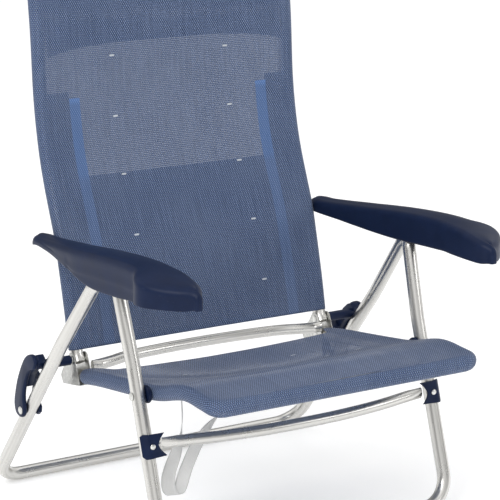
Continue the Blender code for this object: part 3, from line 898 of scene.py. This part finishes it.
class CHAIR_OT_back_sling(bpy.types.Operator):
    """Build the backrest cloth, its pocket, lower lining, side strips and woven dashes"""
    bl_idname = "chair.back_sling"
    bl_label = "Back sling"

    def execute(self, context):
        shape = back_shape(context.scene.chair_sizes.tube)
        bm = build_sling(shape, 96, 150, 205.0, no_droop, lambda share: 0.0)
        cloth = finish_cloth(context, bm, "back_cloth", "back", "backrest", ["back_sling"])
        pocket_low = run_at_height(shape, POCKET_FOOT)
        band_low = run_at_height(shape, LINING_TOP)
        notch = run_at_height(shape, SLEEVE_TOP)

        def behind(name, corners, depth, columns, rows, foot=None, turned=False):
            """A single layer behind the cloth, sewn to it."""
            bm = lining(shape, corners, depth, columns, rows, foot)
            if turned:
                bmesh.ops.reverse_faces(bm, faces=bm.faces)
            return finish_cloth(context, bm, name, "lining", "backrest")

        pocket = behind("back_pocket", (-POCKET_HALF, POCKET_HALF, pocket_low, shape.end - 0.004),
                        lambda x, run: 0.0035 + 0.018 * share_of(run, pocket_low,
                                                                 pocket_low + 0.15),
                        40, 20, lambda x: 0.015 * (1 - (x / POCKET_HALF) ** 4))
        lower = behind("back_lower_lining", (-LINING_HALF, LINING_HALF, 0.002, band_low),
                       lambda x, run: 0.0042, 36, 30, turned=True)
        strips = [behind("back_sleeve_" + word,
                         (side * SLEEVE_IN, side * SLEEVE_OUT, 0.001, notch),
                         lambda x, run: 0.0015 + 0.0205 * min(1.0, (abs(x) - SLEEVE_IN) / 0.038),
                         8, 40)
                  for side, word in SIDES]
        spots = []
        for z, xs in ((0.717, (-0.104, 0.112)), (0.618, (-0.103, 0.116)),
                      (0.525, (-0.102, 0.120)), (0.430, (-0.101, 0.124)), (0.330, (0.128,))):
            spots += [(x, run_at_height(shape, z)) for x in xs]
        finish_piece(dashes(shape, spots), "back_dashes", finish_of(context, "mark"),
                     "backrest")
        return {"FINISHED"}


class CHAIR_OT_seat_sling(bpy.types.Operator):
    """Build the seat cloth, wrapped round its tube, and its woven dashes"""
    bl_idname = "chair.seat_sling"
    bl_label = "Seat sling"

    def execute(self, context):
        shape = seat_shape(context.scene.chair_sizes.tube)

        def rear_edge(share):
            """Where the cloth starts: further forward between the rails."""
            return 0.040 * (1 - eased(share_of(abs(share), 0.86, 0.96)))

        def droop(out, turn):
            """The sleeve hangs a little lower under the front bar."""
            front = max(0.0, -out.y)
            lower = max(0.0, -math.cos(turn))
            return Vector((0, 0, -0.0030)) * front * lower

        bm = build_sling(shape, 96, 110, 200.0, droop, rear_edge)
        cloth = finish_cloth(context, bm, "seat_cloth", "seat", "seat", ["seat_sling"])
        spots = []
        for x, y in ((-0.123, -0.060), (-0.095, -0.113), (-0.053, -0.143), (0.089, -0.053),
                     (0.115, -0.110), (0.163, -0.137), (-0.048, -0.237), (0.168, -0.231)):
            run = next(r for r, p, _ in shape.table if p.x <= y)
            spots.append((x, run))
        finish_piece(dashes(shape, spots), "seat_dashes", finish_of(context, "mark"),
                     "seat")
        return {"FINISHED"}


# ---------------------------------------------------------------- fittings

# y, inner x, outer x, top, inner and outer lower edge, from the rear end to the nose
ARM_STATIONS = (
    (0.1345, 0.2520, 0.2815, 0.4490, 0.4300, 0.4335),
    (0.1310, 0.2508, 0.2840, 0.4494, 0.4290, 0.4350),
    (0.1200, 0.2508, 0.2860, 0.4500, 0.4282, 0.4375),
    (0.1000, 0.2510, 0.2875, 0.4502, 0.4275, 0.4385),
    (0.0500, 0.2525, 0.2925, 0.4545, 0.4265, 0.4368),
    (0.0150, 0.2535, 0.2970, 0.4580, 0.4252, 0.4335),
    (-0.0150, 0.2540, 0.3005, 0.4608, 0.4245, 0.4300),
    (-0.0400, 0.2545, 0.3030, 0.4635, 0.4238, 0.4250),
    (-0.0650, 0.2545, 0.3040, 0.4662, 0.4238, 0.4198),
    (-0.1000, 0.2545, 0.3045, 0.4700, 0.4240, 0.4157),
    (-0.1400, 0.2545, 0.3048, 0.4735, 0.4254, 0.4166),
    (-0.1850, 0.2537, 0.3050, 0.4765, 0.4280, 0.4192),
    (-0.2220, 0.2525, 0.3055, 0.4775, 0.4300, 0.4230),
    (-0.2460, 0.2518, 0.3075, 0.4768, 0.4312, 0.4250),
    (-0.2580, 0.2512, 0.3165, 0.4762, 0.4306, 0.4282),
    (-0.2700, 0.2506, 0.3222, 0.4755, 0.4304, 0.4303),
    (-0.2860, 0.2500, 0.3225, 0.4742, 0.4302, 0.4303),
    (-0.3020, 0.2500, 0.3152, 0.4716, 0.4300, 0.4303),
    (-0.3160, 0.2503, 0.3045, 0.4687, 0.4298, 0.4300),
    (-0.3280, 0.2512, 0.2930, 0.4660, 0.4296, 0.4298),
    (-0.3370, 0.2530, 0.2830, 0.4640, 0.4295, 0.4297),
    (-0.3430, 0.2560, 0.2755, 0.4622, 0.4297, 0.4299),
    (-0.3460, 0.2595, 0.2700, 0.4600, 0.4310, 0.4312),
)


def arm_section(station):
    """Points from the inner lower edge over the top to the outer lower edge."""
    y, x_in, x_out, top, low_in, low_out = station
    corner = 0.0085
    out = []
    flat_in = top - corner - 0.0015
    for k in range(5):
        out.append((x_in, low_in + (flat_in - low_in) * k / 5))
    for k in range(5):
        a = math.pi - math.pi / 2 * k / 5
        out.append((x_in + corner + corner * math.cos(a), flat_in + corner * math.sin(a)))
    for k in range(6):
        t = k / 6
        x = x_in + corner + (x_out - x_in - 2 * corner) * t
        out.append((x, top - 0.0015 + 0.0020 * math.sin(math.pi * t)))
    flat_out = top - corner - 0.0020
    for k in range(5):
        a = math.pi / 2 - math.pi / 2 * k / 5
        out.append((x_out - corner + corner * math.cos(a), flat_out + corner * math.sin(a)))
    skirted = -0.250 < y < -0.020
    ledge = 0.4300 + 0.0105 * share_of(y, -0.03, -0.20)
    ledge = max(ledge, low_out + 0.006)
    inset, waist = (0.0016, 0.0016) if skirted else (0.0, 0.0003)
    heights = (flat_out - 0.002, (flat_out + ledge) / 2, ledge + 0.0014, ledge, low_out + 0.003,
               low_out)
    pulls = (0.0, waist, 0.0, inset, inset, inset)
    for z, pull in zip(heights, pulls):
        out.append((x_out - pull, z))
    fall = 0.0075 * share_of(y, -0.245, -0.290)
    slant = 0.08 * share_of(y, 0.085, 0.130)
    out = [(x, z - fall * (z - low_out) / (top - low_out) * (x - x_in) / max(x_out - x_in, 0.06))
           for x, z in out]
    return [Vector((x, y - slant * (x - x_in), z)) for x, z in out]


def arm_at(y):
    """The station at a place along the armrest, smoothly interpolated."""
    rows = ARM_STATIONS
    for i in range(len(rows) - 1):
        if y >= rows[i + 1][0]:
            a, b, c, d = (rows[min(max(i + k, 0), len(rows) - 1)] for k in (-1, 0, 1, 2))
            t = (y - b[0]) / (c[0] - b[0])
            out = [y]
            for k in range(1, 6):
                m0 = (c[k] - a[k]) / (c[0] - a[0]) * (c[0] - b[0])
                m1 = (d[k] - b[k]) / (d[0] - b[0]) * (c[0] - b[0])
                h = t * t * t
                s = t * t
                out.append((2 * h - 3 * s + 1) * b[k] + (h - 2 * s + t) * m0
                           + (3 * s - 2 * h) * c[k] + (h - s) * m1)
            return tuple(out)
    return rows[-1]


def arm_shell(side):
    """The armrest's outer skin: sections lofted from the thin rear to the rounded nose."""
    first, last = ARM_STATIONS[0][0], ARM_STATIONS[-1][0]
    body = 64
    caps = 6
    count = len(arm_section(ARM_STATIONS[0]))
    bm = bmesh.new()
    bmesh.ops.create_grid(bm, x_segments=body + 2 * caps, y_segments=count - 1, size=1.0)
    rows = {}
    for vert in bm.verts:
        i = round((vert.co.x + 1) / 2 * (body + 2 * caps))
        k = round((vert.co.y + 1) / 2 * (count - 1))
        if i < caps:
            y, shrink, nudge = first, i / caps, 1
        elif i > body + caps:
            y, shrink, nudge = last, (body + 2 * caps - i) / caps, -1
        else:
            y, shrink, nudge = first + (last - first) * (i - caps) / body, 1.0, 0
        if i not in rows:
            rows[i] = arm_section(arm_at(y))
        point = rows[i][k].copy()
        if nudge:
            low = min(p.z for p in rows[i])
            middle = Vector(((rows[i][0].x + rows[i][-1].x) / 2, point.y, low))
            bulge = math.sqrt(max(0.0, 1 - shrink ** 2))
            reach = 0.0022 if nudge > 0 else 0.0065
            grow = shrink ** 0.45 if nudge < 0 else shrink ** 0.25
            point = middle + (point - middle) * grow
            point.y += nudge * reach * bulge
        vert.co = point
    bmesh.ops.remove_doubles(bm, verts=bm.verts, dist=2e-5)
    return flip_x(bm, side)


class CHAIR_OT_armrests(bpy.types.Operator):
    """Build the two moulded armrests"""
    bl_idname = "chair.armrests"
    bl_label = "Armrests"

    def execute(self, context):
        material = finish_of(context, "plastic")
        for side, word in SIDES:
            bm = arm_shell(side)
            if side > 0:
                for vert in bm.verts:
                    reach = math.hypot((vert.co.x - 0.286) / 0.016, (vert.co.y + 0.305) / 0.011)
                    if vert.co.z > 0.468 and reach < 1.0:
                        vert.co.z -= 0.0011 * (1 - reach ** 2)
            thing = finish_piece(bm, "armrest_shell_" + word, material, "armrest_" + word,
                                 ["armrest_" + word], sharp=60.0)
            add_modifier(thing, "SOLIDIFY", thickness=context.scene.chair_sizes.wall,
                         offset=-1.0)
            add_modifier(thing, "SUBSURF", levels=1, render_levels=1)
        return {"FINISHED"}


LINK_ARM = ((0.0680, 0.2570), (0.0700, 0.2640), (0.0762, 0.2690), (0.0880, 0.2650),
            (0.1010, 0.2550), (0.1170, 0.2360), (0.1310, 0.2130), (0.1170, 0.2060),
            (0.1040, 0.2270), (0.0920, 0.2390), (0.0820, 0.2430), (0.0745, 0.2460))
LINK_SKIN = ((0.0680, 0.2570), (0.0700, 0.2640), (0.0762, 0.2690), (0.0890, 0.2675),
             (0.1040, 0.2590), (0.1190, 0.2400), (0.1330, 0.2150), (0.1420, 0.1900),
             (0.1450, 0.1740), (0.1410, 0.1600), (0.1310, 0.1545), (0.1200, 0.1550),
             (0.1130, 0.1610), (0.1110, 0.1720), (0.1130, 0.1880), (0.1110, 0.2030),
             (0.1030, 0.2220), (0.0930, 0.2370), (0.0820, 0.2430), (0.0745, 0.2460))
LINK_YOKE = ((0.1090, 0.2200), (0.1225, 0.2280), (0.1310, 0.2130), (0.1170, 0.2060))
LINK_PRONG = ((0.1090, 0.2200), (0.1225, 0.2280), (0.1310, 0.2130), (0.1400, 0.1900),
              (0.1445, 0.1740), (0.1410, 0.1600), (0.1310, 0.1545), (0.1200, 0.1550),
              (0.1130, 0.1610), (0.1120, 0.1700), (0.1170, 0.1765), (0.1250, 0.1810),
              (0.1250, 0.1900))


class CHAIR_OT_links(bpy.types.Operator):
    """Build the two forked link arms"""
    bl_idname = "chair.links"
    bl_label = "Link arms"

    def execute(self, context):
        material = finish_of(context, "fitting")
        y, z = HINGE
        for side, word in SIDES:
            bm = plate(LINK_ARM, 0.2965, 0.3105, 0.0022, 3)
            join(bm, plate(LINK_YOKE, 0.2860, 0.3110, 0.0018, 2))
            join(bm, plate(LINK_PRONG, 0.2825, 0.2885, 0.0016, 2))
            join(bm, plate(rounded_loop(LINK_SKIN), 0.3102, 0.3175, 0.0026, 4))
            shaft = ((0.2500, 0.0), (0.2500, 0.0072), (0.2508, 0.0080), (0.3000, 0.0080),
                     (0.3020, 0.0))
            join(bm, revolve(shaft, y, z))
            flip_x(bm, side)
            finish_piece(bm, "link_arm_" + word, material, "link_" + word,
                         ["link_" + word])
        return {"FINISHED"}


class CHAIR_OT_brackets(bpy.types.Operator):
    """Build the pressed hinge brackets and the rail plugs"""
    bl_idname = "chair.brackets"
    bl_label = "Brackets and plugs"

    def execute(self, context):
        y, z = HINGE
        outline = [(y - 0.008, z + 0.0075), (y - 0.002, z + 0.0105), (y + 0.0075, z + 0.0090),
                   (y + 0.0160, z - 0.0050), (y + 0.0300, z - 0.0210), (y + 0.0380, z - 0.0340),
                   (y + 0.0300, z - 0.0466), (y - 0.0260, z - 0.0374), (y - 0.0250, z - 0.0300),
                   (y - 0.0160, z - 0.0120)]
        web = [(y - 0.0260, z - 0.0374), (y + 0.0300, z - 0.0466), (y + 0.0300, z - 0.0453),
               (y - 0.0259, z - 0.0361)]
        reach = 0.0114
        for side, word in SIDES:
            bm = plate(outline, RAIL_X - reach - 0.0014, RAIL_X - reach, 0.0004)
            join(bm, plate(outline, RAIL_X + reach, RAIL_X + reach + 0.0014, 0.0004))
            join(bm, plate(web, RAIL_X - reach - 0.0010, RAIL_X + reach + 0.0010, 0.0004))
            flip_x(bm, side)
            finish_piece(bm, "hinge_bracket_" + word, finish_of(context, "steel"), "seat",
                         ["bracket_" + word])
            end_y, end_z = RAIL_PROFILE[0]
            bm = bmesh.new()
            bmesh.ops.create_cone(bm, cap_ends=True, segments=24, radius1=0.0108,
                                  radius2=0.0096, depth=0.0034)
            round_rims(bm, 2, 0.0007)
            spot = Matrix.Translation((side * RAIL_X, end_y + 0.0035, end_z)) \
                @ Matrix.Rotation(-math.pi / 2, 4, "X")
            bmesh.ops.transform(bm, matrix=spot, verts=bm.verts)
            finish_piece(bm, "rail_plug_" + word, finish_of(context, "black"), "seat",
                         ["seat_plug_" + word])
        return {"FINISHED"}


class CHAIR_OT_clamps(bpy.types.Operator):
    """Build the saddle clamps and the spacers on the front legs"""
    bl_idname = "chair.clamps"
    bl_label = "Clamps and spacers"

    def execute(self, context):
        material = finish_of(context, "fitting")
        height = CLAMP_HEIGHT
        leg_y = -0.1955
        lean = (0.2517 - 0.1595) / (0.300 - 0.011)
        for side, word in SIDES:
            inner = FRONT_LEG_X - 0.0255
            bm = bmesh.new()
            bmesh.ops.create_grid(bm, x_segments=20, y_segments=14, size=1.0)
            for vert in bm.verts:
                s, t = (vert.co.x + 1) / 2, vert.co.y
                notch = 0.0125 * (1 - abs(t) ** 1.6)
                low_x = inner + notch - 0.0010
                z = height + 0.0185 * t * (1 - 0.10 * (1 - s))
                if s < 0.45:
                    x = low_x + (FRONT_LEG_X - low_x) * (s / 0.45)
                    depth = 0.0127 - 0.0010 * (1 - s / 0.45)
                else:
                    a = (s - 0.45) / 0.55 * math.radians(62)
                    x = FRONT_LEG_X + 0.0127 * math.sin(a)
                    depth = 0.0127 * math.cos(a)
                corner = max(0.0, s - 0.80) * max(0.0, abs(t) - 0.6) * 0.05
                z -= math.copysign(corner, t)
                vert.co = (x, leg_y - depth + lean * (z - height), z)
            flip_x(bm, side)
            thing = finish_piece(bm, "saddle_clamp_" + word, material, "front_legs",
                                 ["clamp_" + word])
            add_modifier(thing, "SOLIDIFY", thickness=0.0026, offset=1.0)
            add_modifier(thing, "BEVEL", width=0.0006, segments=2)
            y, z = SEAT_PIVOT
            profile = ((0.2472, 0.0), (0.2472, 0.0126), (0.2480, 0.0138), (0.2500, 0.0140),
                       (0.2508, 0.0128), (0.2524, 0.0128), (0.2532, 0.0136), (0.2537, 0.0126),
                       (0.2537, 0.0))
            bm = flip_x(revolve(profile, y, z), side)
            finish_piece(bm, "pivot_spacer_" + word, material, "front_legs",
                         ["spacer_" + word])
        return {"FINISHED"}


def rivet(side, y, z, inner, outer, shank=0.0030, head=0.0065, cap=0.0020):
    """A domed rivet along X with a set head on each end."""
    profile = [(inner - cap, 0.0), (inner - cap, head * 0.35), (inner - cap * 0.8, head * 0.72),
               (inner - cap * 0.35, head * 0.96), (inner, head), (inner, shank),
               (outer, shank), (outer, head), (outer + cap * 0.35, head * 0.96),
               (outer + cap * 0.8, head * 0.72), (outer + cap, head * 0.35), (outer + cap, 0.0)]
    return flip_x(revolve(profile, y, z, 20), side)


class CHAIR_OT_rivets(bpy.types.Operator):
    """Build the rivets and pins"""
    bl_idname = "chair.rivets"
    bl_label = "Rivets"

    def execute(self, context):
        material = finish_of(context, "rivet")
        r = context.scene.chair_sizes.tube / 2
        g = 0.0003
        y, z = HINGE
        rows = (("leg_rivet", LEG_PIVOT, 0.2680, 0.2905, 0.0065, 0.0020, "front_legs"),
                ("seat_rivet", SEAT_PIVOT, RAIL_X - r - g, FRONT_LEG_X + r + g, 0.0065, 0.0020,
                 "front_legs"),
                ("hinge_rivet", HINGE, RAIL_X - r - 0.0021, RAIL_X + r + 0.0021, 0.0065, 0.0018,
                 "hinge_pins"),
                ("bracket_rivet", (y - 0.003, z - 0.0272), RAIL_X - r - 0.0021,
                 RAIL_X + r + 0.0021, 0.0050, 0.0010, "seat"),
                ("link_rivet", LINK_PIVOT, 0.2822, 0.3178, 0.0065, 0.0020, "rear_legs"),
                ("arm_rivet", ARM_PIVOT, RAIL_X - r - g, 0.2544, 0.0040, 0.0020, "arm_pin"))
        for name, (py, pz), inner, outer, head, cap, body in rows:
            for side, word in SIDES:
                bm = rivet(side, py, pz, inner, outer, head=head, cap=cap)
                rider = body + "_" + word if body == "arm_pin" else body
                finish_piece(bm, name + "_set_" + word, material, rider,
                             [name + "_" + word])
        for side, word in SIDES:
            bm = bmesh.new()
            bmesh.ops.create_uvsphere(bm, u_segments=20, v_segments=12, radius=0.0046)
            spot = Matrix.Translation((side * 0.2620, -0.2112, CLAMP_HEIGHT)) \
                @ Matrix.Diagonal((1, 0.42, 1, 1))
            bmesh.ops.transform(bm, matrix=spot, verts=bm.verts)
            finish_piece(bm, "clamp_screw_" + word, material, "front_legs", ())
        return {"FINISHED"}


STRAP_ROUTE = ((-0.1930, -0.178, 0.2480), (-0.1920, -0.178, 0.2050), (-0.2020, -0.178, 0.1650),
               (-0.2180, -0.180, 0.1250), (-0.2160, -0.181, 0.1000), (-0.2020, -0.182, 0.0970),
               (-0.1850, -0.180, 0.1350), (-0.1560, -0.177, 0.1800), (-0.1150, -0.172, 0.2080),
               (-0.0400, -0.170, 0.2130), (0.1000, -0.169, 0.2150), (0.1900, -0.168, 0.2250),
               (0.2190, -0.168, 0.2390))


def strap_turn(run):
    """The way the strap's width points: edge-on where it drops, flat at the bottom loop."""
    degrees = 58.0
    for start, end, turn in ((0.045, 0.110, -74.0), (0.235, 0.330, 60.0)):
        degrees += turn * eased(share_of(run, start, end))
    angle = math.radians(degrees)
    return Vector((math.cos(angle), math.sin(angle), 0.0))


class CHAIR_OT_strap(bpy.types.Operator):
    """Build the webbing strap that hangs under the seat"""
    bl_idname = "chair.strap"
    bl_label = "Carry strap"

    def execute(self, context):
        width = context.scene.chair_sizes.webbing
        line = smooth_line(STRAP_ROUTE, 8)
        runs = [0.0]
        for a, b in zip(line, line[1:]):
            runs.append(runs[-1] + (b - a).length)
        bm = bmesh.new()
        bmesh.ops.create_grid(bm, x_segments=6, y_segments=len(line) - 1, size=1.0)
        uv_place = bm.verts.layers.float_vector.new("cloth_place")
        for vert in bm.verts:
            i = round((vert.co.y + 1) / 2 * (len(line) - 1))
            across = vert.co.x * width / 2
            vert.co = line[i] + strap_turn(runs[i]) * across
            vert[uv_place] = (across, runs[i], 0.0)
        lay_uv(bm, uv_place)
        thing = finish_piece(bm, "strap", finish_of(context, "strap"), "seat",
                             ["carry_strap"], sharp=80.0)
        add_modifier(thing, "SOLIDIFY", thickness=0.0013, offset=0.0)
        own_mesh(thing)
        return {"FINISHED"}


# ---------------------------------------------------------------- stage

VIEW_FROM = (-1.8135, -2.9397, 1.2378)
VIEW_DOWN, VIEW_TURN = 13.340, -32.233      # degrees
VIEW_LENS = 158.4                           # millimetres on a 36 mm sensor
VIEW_SHIFT = (0.0028, -0.0032)


def soft_light(name, spot, aim, size, power):
    """A rectangular area light pointed at a place."""
    data = bpy.data.lights.new(name, "AREA")
    data.shape = "RECTANGLE"
    data.size, data.size_y = size
    data.energy = power
    lamp = bpy.data.objects.new(name, data)
    lamp.location = spot
    lamp.rotation_euler = (Vector(aim) - Vector(spot)).to_track_quat("-Z", "Y").to_euler()
    bpy.context.scene.collection.objects.link(lamp)


class CHAIR_OT_stage(bpy.types.Operator):
    """Build the floor, the soft light and the camera"""
    bl_idname = "chair.stage"
    bl_label = "Stage"

    def execute(self, context):
        scene = context.scene
        bm = bmesh.new()
        bmesh.ops.create_grid(bm, x_segments=1, y_segments=1, size=12.0)
        mesh = bpy.data.meshes.new("floor")
        bm.to_mesh(mesh)
        bm.free()
        floor = bpy.data.objects.new("floor", mesh)
        finish, tree, shader = new_finish("pale floor", (0.86, 0.86, 0.86), 0.85)
        speckle = cloud(tree, place(tree, "Object"), 3.0, 2.0)
        tree.links.new(mix(tree, speckle, (0.85, 0.85, 0.85, 1), (0.88, 0.88, 0.88, 1)),
                       shader.inputs["Base Color"])
        shader.inputs["Emission Color"].default_value = (1.0, 1.0, 1.0, 1.0)
        shader.inputs["Emission Strength"].default_value = 0.30
        mesh.materials.append(finish)
        scene.collection.objects.link(floor)
        world = bpy.data.worlds.new("studio")
        world.use_nodes = True
        scene.world = world
        self.light_the_room(world.node_tree)
        soft_light("key", (-2.6, -1.6, 2.6), (0, 0, 0.35), (1.6, 1.6), 62)
        soft_light("fill", (2.4, -2.6, 1.6), (0, 0, 0.35), (1.8, 1.2), 22)
        lens = bpy.data.cameras.new("view")
        lens.sensor_width = 36.0
        lens.lens = VIEW_LENS
        lens.shift_x, lens.shift_y = VIEW_SHIFT
        lens.clip_start = 0.05
        lens.clip_end = 60.0
        camera = bpy.data.objects.new("view", lens)
        camera.location = VIEW_FROM
        camera.rotation_euler = (math.radians(90 - VIEW_DOWN), 0.0, math.radians(VIEW_TURN))
        scene.collection.objects.link(camera)
        scene.camera = camera
        scene.view_settings.view_transform = "Standard"
        return {"FINISHED"}

    def light_the_room(self, tree):
        """A white studio with grey walls between tall windows, white where the camera looks."""
        back = tree.nodes["Background"]
        x, y, height = axes_of(tree, "Generated")
        angle = calc(tree, "ARCTAN2", y, x)
        strips = ramp(tree, calc(tree, "SINE", calc(tree, "MULTIPLY_ADD", angle, 3.0, 0.9)),
                      -0.45, 0.35)
        wall = calc(tree, "MULTIPLY_ADD", strips, 0.62, 0.26)
        overhead = ramp(tree, height, 0.35, 0.85)
        level = calc(tree, "ADD", wall, calc(tree, "MULTIPLY", overhead, 0.45))
        ray = tree.nodes.new("ShaderNodeLightPath")
        seen = ray.outputs["Is Camera Ray"]
        unseen = calc(tree, "SUBTRACT", 1.0, seen)
        strength = calc(tree, "ADD", calc(tree, "MULTIPLY", level, unseen), seen)
        tree.links.new(strength, back.inputs["Strength"])
        back.inputs["Color"].default_value = (1.0, 1.0, 1.0, 1.0)


class CHAIR_PT_panel(bpy.types.Panel):
    """Lists the chair's pieces in the sidebar"""
    bl_idname = "CHAIR_PT_panel"
    bl_label = "Folding Beach Chair"
    bl_space_type = "VIEW_3D"
    bl_region_type = "UI"
    bl_category = "Chair"

    def draw(self, context):
        for group in ("chair_sizes", "chair_cloth", "chair_finish"):
            box = self.layout.box()
            settings = getattr(context.scene, group)
            for key in settings.__annotations__:
                box.prop(settings, key)
        for maker in PIECES:
            self.layout.operator(maker.bl_idname)


PIECES = (CHAIR_OT_stage, CHAIR_OT_legs, CHAIR_OT_frames, CHAIR_OT_cross_tubes,
          CHAIR_OT_back_sling, CHAIR_OT_seat_sling, CHAIR_OT_armrests, CHAIR_OT_links,
          CHAIR_OT_brackets, CHAIR_OT_clamps, CHAIR_OT_rivets, CHAIR_OT_strap)
GROUPS = (("chair_sizes", ChairSizes), ("chair_cloth", ChairCloth),
          ("chair_finish", ChairFinish))


def register():
    for name, group in GROUPS:
        bpy.utils.register_class(group)
        setattr(bpy.types.Scene, name, PointerProperty(type=group))
    for kind in PIECES + (CHAIR_PT_panel,):
        bpy.utils.register_class(kind)


def unregister():
    for kind in reversed(PIECES + (CHAIR_PT_panel,)):
        bpy.utils.unregister_class(kind)
    for name, group in reversed(GROUPS):
        delattr(bpy.types.Scene, name)
        bpy.utils.unregister_class(group)


def main():
    """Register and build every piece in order."""
    register()
    for maker in PIECES:
        group, name = maker.bl_idname.split(".")
        getattr(getattr(bpy.ops, group), name)()


if __name__ == "__main__":
    main()
